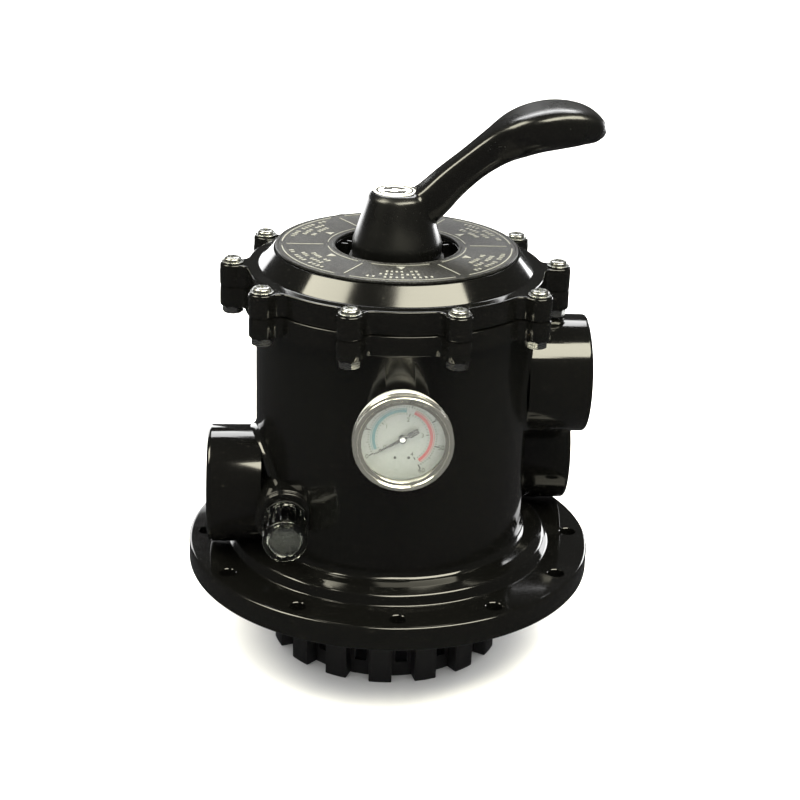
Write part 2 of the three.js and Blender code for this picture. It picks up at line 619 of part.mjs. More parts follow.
// ---------------------------------------------------------------- gauge, built along +Z from the barrel
function gaugeParts() {
  const g = gauge;
  const bossFace = barrel.outerR + g.bossReach;
  const sealFoot = bossFace + SEAT_GAP;
  const hexFoot = sealFoot + g.seal + SEAT_GAP;
  const hexTop = hexFoot + g.hexLength;
  const caseFoot = hexTop + SEAT_GAP;
  const caseTop = caseFoot + g.caseDepth;
  const lensFoot = caseTop + SEAT_GAP;
  const lensTop = lensFoot + g.lensThickness;
  const bezelTop = lensTop + SEAT_GAP + g.lensInset;
  const dialFoot = caseTop - g.dialBack;
  const needleFoot = dialFoot + g.dialThickness + g.needleLift;
  const lookIn = g.caseR - g.caseWall;
  const bezelR = g.caseR + g.bezelWall;
  const stemSolid = join(
    rod(g.stemR, barrelInR - 1, hexFoot + 1, SMALL),
    hexagon(g.hexAcross, hexFoot, hexTop),
    rod(g.spigotR, hexTop - 1, caseFoot + g.caseWall + g.spigotReach, SMALL),
  );
  const caseSolid = cut(
    rod(g.caseR, caseFoot, caseTop, MID),
    rod(lookIn, caseFoot + g.caseWall, caseTop + 1, MID),
    rod(g.spigotR + FIT, caseFoot - 1, caseFoot + 3, SMALL),
  );
  const bezelSolid = turned(
    [
      [g.caseR + FIT, bezelTop - g.bezelDepth], [bezelR - 0.6, bezelTop - g.bezelDepth],
      [bezelR, bezelTop - g.bezelDepth + 1], [bezelR, bezelTop - 1], [bezelR - 1, bezelTop],
      [bezelR - 2.4, bezelTop], [lookIn - g.bezelLip, lensTop + SEAT_GAP],
      [g.caseR + FIT, lensTop + SEAT_GAP],
    ],
    MID,
  );
  const dialSolid = cut(
    rod(lookIn - FIT, dialFoot, dialFoot + g.dialThickness, MID),
    rod(g.arborR + 0.4, dialFoot - 1, dialFoot + 2, SMALL),
  );
  const pointer = new THREE.Shape([
    new THREE.Vector2(g.needleLength, -0.25), new THREE.Vector2(g.needleLength, 0.25),
    new THREE.Vector2(0, 0.8), new THREE.Vector2(-g.needleTail, 1.3),
    new THREE.Vector2(-g.needleTail, -1.3), new THREE.Vector2(0, -0.8),
  ]);
  const needleSolid = join(
    turnZ(slab(pointer, needleFoot, needleFoot + g.needleThickness), g.zeroDeg),
    rod(g.capR, needleFoot - 0.4, needleFoot + g.needleThickness + 0.6, SMALL),
    rod(g.arborR, dialFoot - g.arborDepth, needleFoot + 0.2, SMALL),
  );
  // The curved pressure tube behind the dial, open on the side away from its linkage.
  const section = new THREE.Shape();
  section.absarc(0, 0, g.tubeWireR, 0, 2 * Math.PI, false);
  const bend = new THREE.CatmullRomCurve3(
    Array.from({ length: 13 }, (_, i) => {
      const a = rad(-70 + i * 20);
      return new THREE.Vector3(g.tubeR * Math.cos(a), g.tubeR * Math.sin(a), caseFoot + g.caseWall + 3.5);
    }),
  );
  const tubeSolid = solid(
    new THREE.ExtrudeGeometry(section, {
      extrudePath: bend, steps: 18, curveSegments: 3, bevelEnabled: false,
    }),
  );
  const movementFoot = caseFoot + g.caseWall + g.spigotReach + SEAT_GAP;
  const movementSolid = cut(
    block(g.movementLength, g.movementWidth, movementFoot, dialFoot - SEAT_GAP),
    rod(g.arborR + FIT, movementFoot + 1.2, dialFoot, SMALL),
  );
  return [
    part("gauge_stem", stemSolid, brass),
    part("gauge_seal", ring(g.stemR + FIT, g.sealR, sealFoot, sealFoot + g.seal, SMALL), rubber),
    part("gauge_case", caseSolid, steel),
    part("gauge_bezel", bezelSolid, chrome),
    part("gauge_lens", rod(g.caseR, lensFoot, lensTop, MID), clear),
    part("gauge_dial", dialSolid, white),
    part("gauge_needle", needleSolid, black),
    part("gauge_pressure_tube", tubeSolid, brass),
    part("gauge_movement", movementSolid, brass),
  ];
}

// ---------------------------------------------------------------- sight glass, built along +Z from its boss
function sightParts() {
  const s = sight;
  const sealFoot = sightFace + SEAT_GAP;
  const headFoot = sealFoot + s.seal + SEAT_GAP;
  const cupTop = headFoot + s.cupLength;
  const threadR = s.boreR - FIT;
  const threadFoot = sightFace - s.thread;
  const bevel = s.cupR / 8;
  const cup = turned(
    [
      [threadR, threadFoot], [threadR, headFoot], [s.cupR, headFoot], [s.cupR, cupTop - bevel],
      [s.cupR - bevel, cupTop], [0, cupTop], [0, cupTop - s.cupWall],
      [s.cupR - s.cupWall, cupTop - s.cupWall], [s.cupR - s.cupWall, headFoot + s.cupWall],
      [threadR - s.cupWall, headFoot + s.cupWall], [threadR - s.cupWall, threadFoot],
    ],
    MID,
  );
  return [
    part("sight_glass_seal", ring(s.boreR + FIT, s.cupR - FIT, sealFoot, sealFoot + s.seal, MID), rubber),
    part("sight_glass_cup", cup, clear),
  ];
}

// ---------------------------------------------------------------- the assembly
const valve = new THREE.Group();

valve.add(
  part("valve_body", valveBody(), black),
  part("diffuser_basket", diffuserBasket(), satinBlack),
  part("lid", lidCasting(), black),
  part("label_plate", ring(lid.recessR + FIT, coneTopR - label.inset, z.labelFoot, z.labelTop), satinBlack),
  part("lid_seal", torus(lidSealR, lidSeal.wire - 0.15, lidSealLevel, BIG, 6), rubber),
  part("spider_gasket", spiderGasket(), rubber),
  part("rotor", rotorDisc(), black),
  part("stem", stemShaft(), black),
  part("drive_pin", sideRod(drivePin.radius, rotor.hubR - 0.5, drivePinLevel), steel),
  part("rotor_spring", coilSpring(), steel),
  part("slip_washer", ring(washerInR, slipWasher.outerR, z.slipWasherFoot, z.slipWasherTop, MID), acetal),
  part("thrust_washer", ring(washerInR, thrustWasher.outerR, z.washerFoot, z.washerTop, MID), acetal),
);

sealLevels.forEach((level, i) => {
  const seal = torus(grooveR + sealWireR + 0.06, sealWireR, level, MID, 6);
  valve.add(part("stem_seal_" + (i + 1), seal, rubber));
});

// The lever and its pin swing about the pin, so they are built about it.
const leverGroup = new THREE.Group();
leverGroup.position.z = z.leverPin;
const badgeFoot = lever.hubHeight - lever.pinHeight - badge.sunk + SEAT_GAP;
const badgeSolid = rod(badge.radius, badgeFoot, badgeFoot + badge.thickness, MID)
  .translate([lever.topOffset, 0, 0]);
leverGroup.add(
  part("lever_handle", leverHandle(), black),
  part("lever_pin", sideRod(lever.pinR, lever.hubR - 4, 0), steel),
  part("handle_badge", badgeSolid, white),
);
valve.add(leverGroup);

for (let i = 0; i < boltRing.count; i++) {
  const a = rad(boltRing.firstDeg + (360 * i) / boltRing.count);
  const number = String(i + 1).padStart(2, "0");
  const spot = [boltCircleR * Math.cos(a), boltCircleR * Math.sin(a)];
  const boltMesh = part("lid_bolt_" + number, lidBolt(), steel);
  boltMesh.position.set(...spot, z.boltHead);
  boltMesh.rotation.z = a;
  const nutMesh = part("lid_nut_" + number, lidNut(), steel);
  nutMesh.position.set(...spot, nutFoot);
  nutMesh.rotation.z = a;
  valve.add(boltMesh, nutMesh);
}

// Both stand out along -Y.
const gaugeGroup = new THREE.Group();
gaugeGroup.position.z = z.pumpPort;
gaugeGroup.rotation.x = Math.PI / 2;
gaugeGroup.add(...gaugeParts());
const sightGroup = new THREE.Group();
sightGroup.position.set(sightX, 0, z.lowPort);
sightGroup.rotation.x = Math.PI / 2;
sightGroup.add(...sightParts());
valve.add(gaugeGroup, sightGroup);

export default valve;
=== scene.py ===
"""Looks of a top-mount multiport valve: moulded shells, gauge, sight glass, lever and fasteners."""

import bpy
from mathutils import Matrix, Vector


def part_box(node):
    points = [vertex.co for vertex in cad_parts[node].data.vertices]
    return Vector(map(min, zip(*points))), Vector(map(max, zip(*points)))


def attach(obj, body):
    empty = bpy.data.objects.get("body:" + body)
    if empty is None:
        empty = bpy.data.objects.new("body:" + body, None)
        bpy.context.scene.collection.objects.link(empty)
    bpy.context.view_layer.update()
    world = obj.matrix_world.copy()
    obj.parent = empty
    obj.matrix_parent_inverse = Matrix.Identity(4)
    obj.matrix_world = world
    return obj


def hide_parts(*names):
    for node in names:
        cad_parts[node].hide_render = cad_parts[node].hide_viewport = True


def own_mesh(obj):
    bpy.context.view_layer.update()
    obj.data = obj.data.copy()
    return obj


bl_info = {
    "name": "Multiport Valve Looks",
    "version": (1, 0, 0),
    "blender": (4, 5, 0),
    "location": "View3D > Sidebar > Valve",
    "description": "Builds the finished pieces of a sand filter's multiport valve round its frame",
    "category": "Object",
}

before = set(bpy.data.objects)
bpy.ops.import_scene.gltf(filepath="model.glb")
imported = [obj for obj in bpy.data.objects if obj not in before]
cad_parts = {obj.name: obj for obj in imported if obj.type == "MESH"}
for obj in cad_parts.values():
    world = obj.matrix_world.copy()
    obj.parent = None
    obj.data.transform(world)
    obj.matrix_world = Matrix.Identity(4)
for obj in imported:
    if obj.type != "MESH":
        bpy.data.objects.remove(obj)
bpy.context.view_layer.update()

import math

import bmesh
import bpy
from bpy.props import FloatProperty, FloatVectorProperty, PointerProperty
from mathutils import Matrix, Vector

MM = 0.001
GAP = 0.3  # left between two pieces that rest on each other
FINE = 160  # facets of a large circle
ROUND = 72  # facets of a port or the hub
SMALL = 32  # facets of a screw or a hole
MERGE = 1e-4  # corners nearer than this are one
ON_AXIS = 1e-6  # a radius under this is a point on the axis


def span(node):
    """A CAD node's lowest and highest corner, in millimetres."""
    low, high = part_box(node)
    return low / MM, high / MM


# ------------------------------------------------------------- levels and radii, from the frame
BODY_LOW, BODY_HIGH = span("valve_body")
LID_LOW, LID_HIGH = span("lid")
BASKET_HIGH = span("diffuser_basket")[1]
PLATE_LOW, PLATE_HIGH = span("label_plate")
LEVER_LOW, LEVER_HIGH = span("lever_handle")
PIN_LOW, PIN_HIGH = span("lever_pin")
BADGE_LOW, BADGE_HIGH = span("handle_badge")
BOLT_LOW, BOLT_HIGH = span("lid_bolt_01")
NUT_LOW, NUT_HIGH = span("lid_nut_01")
CASE_LOW, CASE_HIGH = span("gauge_case")
BEZEL_LOW, BEZEL_HIGH = span("gauge_bezel")
LENS_LOW, LENS_HIGH = span("gauge_lens")
DIAL_LOW, DIAL_HIGH = span("gauge_dial")
NEEDLE_LOW = span("gauge_needle")[0]
CUP_LOW, CUP_HIGH = span("sight_glass_cup")
SPRING_LOW, SPRING_HIGH = span("rotor_spring")
GASKET_LOW = span("spider_gasket")[0]

FLANGE_R = BODY_HIGH.x
STEP_TOP = BASKET_HIGH.z + GAP
STEP_R = BASKET_HIGH.x + 2.4
FLANGE_FOOT = STEP_TOP - 1
FLANGE_THICKNESS = 13.7
FLANGE_TOP = FLANGE_FOOT + FLANGE_THICKNESS
FLANGE_WIDTH = 23
SHOULDER_R = FLANGE_R - FLANGE_WIDTH
BARREL_R = SHOULDER_R - 15.5
BARREL_WALL = 6.5
BARREL_IN_R = BARREL_R - BARREL_WALL
SEAT_WIDTH = 8
SEAT_IN_R = BARREL_IN_R - SEAT_WIDTH
SEAT = GASKET_LOW.z - GAP
CHAMBER_FOOT = FLANGE_TOP + 4
JOINT = BODY_HIGH.z
RIM_R = BARREL_R + 6.5
RIM_FOOT = JOINT - 11
LID_FOOT = JOINT + GAP
LOBE_TOP = LID_FOOT + 12.5
PLATEAU = LID_HIGH.z
BOLT_CIRCLE_R = (BOLT_LOW.x + BOLT_HIGH.x) / 2
BOLTS = 10
LOBE_R = 7
LOBE_BLEND = 5
SCREW_HOLE_R = 3.4
FLANGE_HOLES = 12
FLANGE_HOLE_R = 4.5
PORT_R = 33
BORE_R = 24
PUMP_LEVEL = (BEZEL_LOW.z + BEZEL_HIGH.z) / 2
LOW_LEVEL = (CUP_LOW.z + CUP_HIGH.z) / 2
PUMP_END = BARREL_R + 31.5
WASTE_END = BARREL_R + 26.5
RETURN_END = BARREL_R + 30.5
WASTE_Y = -12
RETURN_Y = 49
SIGHT_X = (CUP_LOW.x + CUP_HIGH.x) / 2
SIGHT_R = (CUP_HIGH.x - CUP_LOW.x) / 2
SIGHT_FACE = math.sqrt(BARREL_R**2 - (SIGHT_X + SIGHT_R) ** 2) + 0.5
LEVER_PIN = (PIN_LOW.z + PIN_HIGH.z) / 2
PIN_HEIGHT = LEVER_PIN - LEVER_LOW.z
HUB_R = -LEVER_LOW.x
HUB_TOP = BADGE_HIGH.z - 0.7
PRESS = math.radians(20)  # how far the lever goes down
BADGE_X = -2


# ------------------------------------------------------------- colours and shader helpers
def linear(hex_colour):
    """An sRGB hex value as linear red, green and blue."""
    parts = [int(hex_colour[i : i + 2], 16) / 255 for i in (1, 3, 5)]
    return tuple(c / 12.92 if c <= 0.04045 else ((c + 0.055) / 1.055) ** 2.4 for c in parts)


def add(tree, kind, inputs=None, **settings):
    """A node with its settings, whose inputs are either values or links from other nodes' outputs."""
    made = tree.nodes.new(kind)
    for name, value in settings.items():
        setattr(made, name, value)
    for name, value in (inputs or {}).items():
        if isinstance(value, bpy.types.NodeSocket):
            tree.links.new(value, made.inputs[name])
        else:
            made.inputs[name].default_value = value
    return made


def rgba(colour):
    return (*colour[:3], 1.0)


def finish(name, colour, **sockets):
    """A new material with its own Principled shader, whose sockets are set by name."""
    made = bpy.data.materials.new(name)
    made.use_nodes = True
    made.diffuse_color = rgba(colour)
    shader = made.node_tree.nodes["Principled BSDF"]
    shader.inputs["Base Color"].default_value = rgba(colour)
    for socket, value in sockets.items():
        shader.inputs[socket.replace("_", " ")].default_value = value
    return made, made.node_tree, shader


def per_mm(size):
    """The texture scale at which a pattern's features are this many millimetres apart."""
    return 1 / (size * MM)


def moulded_abs(name="moulded_abs", roughness=0.09, peel=0.005):
    """Injection-moulded ABS, straight from a polished tool: deep black, with a mirror gloss.

    The eye sees sharp window-like reflections that waver slightly over the moulding's skin, a few
    duller patches where the melt flowed, and a thin film of dust.
    """
    black = bpy.context.scene.valve_finishes.abs_black
    made, tree, shader = finish(name, black, Roughness=roughness, IOR=1.53)
    place = add(tree, "ShaderNodeTexCoord").outputs["Object"]
    flow = add(tree, "ShaderNodeTexNoise", {"Vector": place, "Scale": per_mm(38), "Detail": 3.0})
    dust = add(tree, "ShaderNodeTexNoise", {"Vector": place, "Scale": per_mm(1.6), "Detail": 5.0})
    sheen = add(tree, "ShaderNodeMapRange", {
        "Value": flow.outputs["Fac"], "From Min": 0.35, "From Max": 0.7,
        "To Min": roughness * 0.75, "To Max": roughness * 1.6})
    specks = add(tree, "ShaderNodeMapRange", {
        "Value": dust.outputs["Fac"], "From Min": 0.66, "From Max": 0.78, "To Min": 0.0, "To Max": 0.10})
    rough = add(tree, "ShaderNodeMath", {
        0: sheen.outputs["Result"], 1: specks.outputs["Result"]}, operation="ADD")
    tree.links.new(rough.outputs["Value"], shader.inputs["Roughness"])
    tint = add(tree, "ShaderNodeMixRGB", {
        "Fac": specks.outputs["Result"], "Color1": rgba(black), "Color2": rgba(linear("#6d6a60"))})
    tree.links.new(tint.outputs["Color"], shader.inputs["Base Color"])
    skin = add(tree, "ShaderNodeTexNoise", {"Vector": place, "Scale": per_mm(7), "Detail": 1.0})
    bump = add(tree, "ShaderNodeBump", {
        "Height": skin.outputs["Fac"], "Strength": 1.0, "Distance": peel * MM})
    tree.links.new(bump.outputs["Normal"], shader.inputs["Normal"])
    return made


def spark_eroded_abs():
    """Moulded ABS from a spark-eroded tool: the same black, with a fine satin grain.

    The eye sees the light broken up. The real grain is about 0.1 mm, and is drawn 0.6 mm coarse to show.
    """
    black = bpy.context.scene.valve_finishes.satin_black
    made, tree, shader = finish("spark_eroded_abs", black, Roughness=0.42, IOR=1.53)
    place = add(tree, "ShaderNodeTexCoord").outputs["Object"]
    grain = add(tree, "ShaderNodeTexNoise", {"Vector": place, "Scale": per_mm(0.6), "Detail": 2.0})
    patches = add(tree, "ShaderNodeTexNoise", {"Vector": place, "Scale": per_mm(25), "Detail": 3.0})
    rough = add(tree, "ShaderNodeMapRange", {
        "Value": patches.outputs["Fac"], "To Min": 0.34, "To Max": 0.56})
    tree.links.new(rough.outputs["Result"], shader.inputs["Roughness"])
    tint = add(tree, "ShaderNodeMixRGB", {
        "Fac": patches.outputs["Fac"], "Color1": rgba(black), "Color2": rgba([c * 1.7 for c in black])})
    tree.links.new(tint.outputs["Color"], shader.inputs["Base Color"])
    bump = add(tree, "ShaderNodeBump", {
        "Height": grain.outputs["Fac"], "Strength": 0.7, "Distance": 0.05 * MM})
    tree.links.new(bump.outputs["Normal"], shader.inputs["Normal"])
    return made


def embossed_plate():
    """The label plate's moulded vinyl: charcoal with a pebbled emboss of about 1 mm, its pebble tops painted
    lighter as a painted highlight and its hollows painted darker as painted shade, in patches of wear.
    """
    made, tree, shader = finish("embossed_vinyl", linear("#1d1d1b"), Roughness=0.42, IOR=1.5)
    place = add(tree, "ShaderNodeTexCoord").outputs["Object"]
    pebbles = add(tree, "ShaderNodeTexVoronoi", {"Vector": place, "Scale": per_mm(1.1)})
    wear = add(tree, "ShaderNodeTexNoise", {"Vector": place, "Scale": per_mm(9), "Detail": 4.0})
    tops = add(tree, "ShaderNodeMapRange", {
        "Value": pebbles.outputs["Distance"], "From Min": 0.0, "From Max": 0.6, "To Min": 1.0, "To Max": 0.0})
    # Painted highlight on the pebble tops and painted shade in the hollows, broken into patches by the wear
    # noise.
    painted_light_and_wear = add(tree, "ShaderNodeMath", {
        0: tops.outputs["Result"], 1: wear.outputs["Fac"]}, operation="MULTIPLY")
    tint = add(tree, "ShaderNodeMixRGB", {
        "Fac": painted_light_and_wear.outputs["Value"], "Color1": rgba(linear("#10100f")), "Color2": rgba(linear("#4a4a45"))})
    tree.links.new(tint.outputs["Color"], shader.inputs["Base Color"])
    bump = add(tree, "ShaderNodeBump", {
        "Height": tops.outputs["Result"], "Strength": 0.8, "Distance": 0.12 * MM})
    tree.links.new(bump.outputs["Normal"], shader.inputs["Normal"])
    return made


def metal(name, colour, roughness, brushed_mm, around=None, depth=0.01, mirror=1.0):
    """A bare metal with fine lines left by its finishing, brushed_mm apart and long across that.

    around names the axis that a turned piece was polished about, and its lines run round that axis.
    mirror is the share that reflects, and the rest is a pale film that scatters.
    """
    made, tree, shader = finish(name, colour, Metallic=mirror, Roughness=roughness)
    place = add(tree, "ShaderNodeTexCoord").outputs["Object"]
    stretch = {None: (1, 1, 1), "Y": (0.15, 1, 0.15), "Z": (0.15, 0.15, 1)}[around]
    laid = add(tree, "ShaderNodeMapping", {"Vector": place, "Scale": stretch})
    lines = add(tree, "ShaderNodeTexNoise", {
        "Vector": laid.outputs["Vector"], "Scale": per_mm(brushed_mm), "Detail": 3.0})
    stain = add(tree, "ShaderNodeTexNoise", {"Vector": place, "Scale": per_mm(6), "Detail": 4.0})
    rough = add(tree, "ShaderNodeMapRange", {
        "Value": lines.outputs["Fac"], "To Min": roughness * 0.6, "To Max": roughness * 1.5})
    tree.links.new(rough.outputs["Result"], shader.inputs["Roughness"])
    tint = add(tree, "ShaderNodeMixRGB", {
        "Fac": stain.outputs["Fac"], "Color1": rgba(colour), "Color2": rgba([c * 0.78 for c in colour])})
    tree.links.new(tint.outputs["Color"], shader.inputs["Base Color"])
    bump = add(tree, "ShaderNodeBump", {
        "Height": lines.outputs["Fac"], "Strength": 0.5, "Distance": depth * MM})
    tree.links.new(bump.outputs["Normal"], shader.inputs["Normal"])
    return made


def stainless_steel():
    """Cold-headed stainless fasteners and pins: bright grey, with soft drawn lines."""
    return metal("stainless_steel", linear("#c9cac6"), 0.26, 0.5, "Z")


def brushed_gauge_case():
    """Pressed stainless sheet, brushed round its axis, so highlights smear across its hazy sides."""
    return metal("brushed_stainless_case", linear("#dddcd2"), 0.42, 0.35, "Y", 0.05, 0.35)


def chrome_plate():
    """Bright chrome over a pressed steel bezel: a nearly perfect mirror with faint polishing haze."""
    return metal("chrome_plate", linear("#efeee6"), 0.2, 0.8, "Y", 0.004, 0.94)


def turned_brass():
    """Free-cutting brass, turned and left to dull: yellow with fine tool rings."""
    return metal("turned_brass", linear("#b5904f"), 0.32, 0.3, "Y", 0.02)


def spring_wire():
    """Stainless spring wire with a drawn skin, a little darker than the screws."""
    return metal("spring_wire", linear("#a9a9a4"), 0.3, 0.4, None, 0.01)


def nitrile_rubber():
    """Black nitrile rubber: matte, with a bloom of pale dust in soft patches."""
    made, tree, shader = finish("nitrile_rubber", linear("#151515"), Roughness=0.75, IOR=1.52)
    place = add(tree, "ShaderNodeTexCoord").outputs["Object"]
    bloom = add(tree, "ShaderNodeTexNoise", {"Vector": place, "Scale": per_mm(5), "Detail": 5.0})
    tint = add(tree, "ShaderNodeMixRGB", {
        "Fac": bloom.outputs["Fac"], "Color1": rgba(linear("#0e0e0e")), "Color2": rgba(linear("#2a2a29"))})
    tree.links.new(tint.outputs["Color"], shader.inputs["Base Color"])
    bump = add(tree, "ShaderNodeBump", {
        "Height": bloom.outputs["Fac"], "Strength": 0.4, "Distance": 0.05 * MM})
    tree.links.new(bump.outputs["Normal"], shader.inputs["Normal"])
    return made


def turned_acetal():
    """Black acetal, turned: charcoal with a waxy sheen and faint tool rings."""
    made, tree, shader = finish("black_acetal", linear("#191918"), Roughness=0.38, IOR=1.48)
    place = add(tree, "ShaderNodeTexCoord").outputs["Object"]
    rings = add(tree, "ShaderNodeTexNoise", {"Vector": place, "Scale": per_mm(2), "Detail": 3.0})
    bump = add(tree, "ShaderNodeBump", {
        "Height": rings.outputs["Fac"], "Strength": 0.4, "Distance": 0.03 * MM})
    tree.links.new(bump.outputs["Normal"], shader.inputs["Normal"])
    return made


def printed(name, colour, roughness=0.45, mottle=0.12):
    """Screen ink or lacquer on sheet metal: an even colour with a faint mottle of about 1.5 mm."""
    made, tree, shader = finish(name, colour, Roughness=roughness, IOR=1.5)
    place = add(tree, "ShaderNodeTexCoord").outputs["Object"]
    cloud = add(tree, "ShaderNodeTexNoise", {"Vector": place, "Scale": per_mm(1.5), "Detail": 4.0})
    tint = add(tree, "ShaderNodeMixRGB", {
        "Fac": cloud.outputs["Fac"], "Color1": rgba([c * (1 - mottle) for c in colour]),
        "Color2": rgba([min(c * (1 + mottle), 1) for c in colour])})
    tree.links.new(tint.outputs["Color"], shader.inputs["Base Color"])
    return made


def clear_glass():
    """The gauge's window: clear polycarbonate sheet, polished, with wiping haze that just shows."""
    made, tree, shader = finish("clear_window", linear("#fbfdfd"), Roughness=0.02, IOR=1.49)
    shader.inputs["Transmission Weight"].default_value = 1.0
    place = add(tree, "ShaderNodeTexCoord").outputs["Object"]
    haze = add(tree, "ShaderNodeTexNoise", {"Vector": place, "Scale": per_mm(8), "Detail": 5.0})
    rough = add(tree, "ShaderNodeMapRange", {
        "Value": haze.outputs["Fac"], "To Min": 0.0, "To Max": 0.02})
    tree.links.new(rough.outputs["Result"], shader.inputs["Roughness"])
    return made


def clear_styrene():
    """The sight glass's clear styrene: dark glassy ribs, with only its front face ground to a fine grain.

    The real grain is about 0.2 mm, and is drawn 1.6 mm coarse to show.
    """
    made, tree, shader = finish("clear_styrene", linear("#5d605b"), Roughness=0.04, IOR=1.59)
    shader.inputs["Transmission Weight"].default_value = 1.0
    place = add(tree, "ShaderNodeTexCoord").outputs["Object"]
    depth = add(tree, "ShaderNodeSeparateXYZ", {0: place}).outputs["Y"]
    ground = add(tree, "ShaderNodeMapRange", {
        "Value": depth, "From Min": (CUP_LOW.y + 2.4) * MM, "From Max": (CUP_LOW.y + 0.9) * MM,
        "To Min": 0.05, "To Max": 0.9})
    tint = add(tree, "ShaderNodeMixRGB", {
        "Fac": ground.outputs["Result"], "Color1": rgba(linear("#5d605b")),
        "Color2": rgba(linear("#9da19b"))})
    tree.links.new(tint.outputs["Color"], shader.inputs["Base Color"])
    grain = add(tree, "ShaderNodeTexNoise", {"Vector": place, "Scale": per_mm(1.6), "Detail": 3.0})
    bump = add(tree, "ShaderNodeBump", {
        "Height": grain.outputs["Fac"], "Strength": ground.outputs["Result"], "Distance": 0.15 * MM})
    tree.links.new(bump.outputs["Normal"], shader.inputs["Normal"])
    return made


MATERIALS = {}


def look(maker, *args):
    """The material of a maker function, made once and shared."""
    key = (maker.__name__, *args)
    if key not in MATERIALS:
        MATERIALS[key] = maker(*args)
    return MATERIALS[key]


# ------------------------------------------------------------- shapes, all in millimetres
def polar(radius, angle, height=0.0):
    return Vector((radius * math.cos(angle), radius * math.sin(angle), height))


def rounded(corners, steps=4):
    """A closed outline of (x, y, round) corners, with each corner rounded to its radius by an arc."""
    points = []
    for i, (x, y, radius) in enumerate(corners):
        here = Vector((x, y))
        back = Vector(corners[i - 1][:2]) - here
        on = Vector(corners[(i + 1) % len(corners)][:2]) - here
        half = back.angle(on) / 2 if back.length * on.length else 0
        if radius <= 0 or half < 0.02 or half > math.pi / 2 - 0.02:
            points.append(here)
            continue
        reach = min(radius / math.tan(half), 0.49 * back.length, 0.49 * on.length)
        radius = reach * math.tan(half)
        centre = here + (back.normalized() + on.normalized()).normalized() * (radius / math.sin(half))
        start = here + back.normalized() * reach - centre
        end = here + on.normalized() * reach - centre
        for k in range(steps + 1):
            t = k / steps
            sweep = start.angle(end)
            share = (math.sin((1 - t) * sweep) * start + math.sin(t * sweep) * end) / math.sin(sweep)
            points.append(centre + share)
    return points


def grid(rings, closed_ring=True, closed_run=True):
    """Rings of points joined by quads. Rings of one point make a tip."""
    bm = bmesh.new()
    rows = [[bm.verts.new(p) for p in ring] for ring in rings]
    runs = len(rows) if closed_run else len(rows) - 1
    for i in range(runs):
        a, b = rows[i], rows[(i + 1) % len(rows)]
        count = max(len(a), len(b))
        for k in range(count if closed_ring else count - 1):
            n = (k + 1) % count
            corners = [a[k % len(a)], a[n % len(a)], b[n % len(b)], b[k % len(b)]]
            corners = [v for j, v in enumerate(corners) if v not in corners[:j]]
            if len(corners) > 2:
                bm.faces.new(corners)
    return bm


def tidy(bm):
    bmesh.ops.remove_doubles(bm, verts=bm.verts, dist=MERGE)
    bmesh.ops.recalc_face_normals(bm, faces=bm.faces)
    return bm


def turned(corners, facets=FINE, steps=4):
    """A profile of (radius, height, round) corners turned about Z. It closes, unless both ends are on Z."""
    points = rounded(corners, steps)
    on_axis = points[0].x < ON_AXIS and points[-1].x < ON_AXIS
    turns = [2 * math.pi * k / facets for k in range(facets)]
    rings = [
        [Vector((0, 0, p.y))] if p.x < ON_AXIS else [polar(p.x, a, p.y) for a in turns]
        for p in points
    ]
    return tidy(grid(rings, closed_run=not on_axis))


def rod(radius, low, high, facets=ROUND, edge=0.0):
    """A cylinder along Z with rounded ends."""
    return turned([(0, low, 0), (radius, low, edge), (radius, high, edge), (0, high, 0)], facets)


def prism(outline, low, high):
    """A flat outline given height."""
    bm = bmesh.new()
    under = [bm.verts.new((p[0], p[1], low)) for p in outline]
    over = [bm.verts.new((p[0], p[1], high)) for p in outline]
    bm.faces.new(under[::-1])
    bm.faces.new(over)
    for i in range(len(outline)):
        n = (i + 1) % len(outline)
        bm.faces.new((under[i], under[n], over[n], over[i]))
    return tidy(bm)


def bar(size_x, size_y, low, high):
    """A block centred on Z."""
    x, y = size_x / 2, size_y / 2
    return prism([(-x, -y), (x, -y), (x, y), (-x, y)], low, high)


def soften(bm, width, steps=2, least_deg=40):
    """Rounds the edges of a plain shape that are sharper than an angle."""
    sharp = [e for e in bm.edges if len(e.link_faces) == 2 and e.calc_face_angle() > math.radians(least_deg)]
    bmesh.ops.bevel(
        bm, geom=sharp, offset=width, segments=steps, profile=0.5, affect="EDGES", clamp_overlap=True)
    return tidy(bm)


def placed(bm, *moves):
    """A shape moved by each matrix in turn."""
    for move in moves:
        bm.transform(move)
    return bm


def together(*shapes):
    """Shapes that don't touch, as one."""
    whole = bmesh.new()
    for shape in shapes:
        spare = bpy.data.meshes.new("spare")
        shape.to_mesh(spare)
        shape.free()
        whole.from_mesh(spare)
        bpy.data.meshes.remove(spare)
    return whole


def boolean(base, tools, how):
    """A shape joined with, cut by or kept inside others."""
    objects = []
    for shape in (base, *tools):
        mesh = bpy.data.meshes.new("spare")
        shape.to_mesh(mesh)
        shape.free()
        objects.append(bpy.data.objects.new("spare", mesh))
        bpy.context.scene.collection.objects.link(objects[-1])
    for other in objects[1:]:
        step = objects[0].modifiers.new("step", "BOOLEAN")
        step.operation = how
        step.solver = "MANIFOLD"
        step.object = other
    seen = objects[0].evaluated_get(bpy.context.evaluated_depsgraph_get())
    result = bmesh.new()
    result.from_mesh(seen.to_mesh())
    for made in objects:
        mesh = made.data
        bpy.data.objects.remove(made)
        bpy.data.meshes.remove(mesh)
    bmesh.ops.remove_doubles(result, verts=result.verts, dist=MERGE)
    return result


def join(base, *tools):
    return boolean(base, tools, "UNION")


def cut(base, *tools):
    return boolean(base, tools, "DIFFERENCE")


def round_z(angle_deg):
    return Matrix.Rotation(math.radians(angle_deg), 4, "Z")


def out_at(radius, angle_deg):
    """Moves a shape out from Z, then round it."""
    return round_z(angle_deg) @ Matrix.Translation((radius, 0, 0))


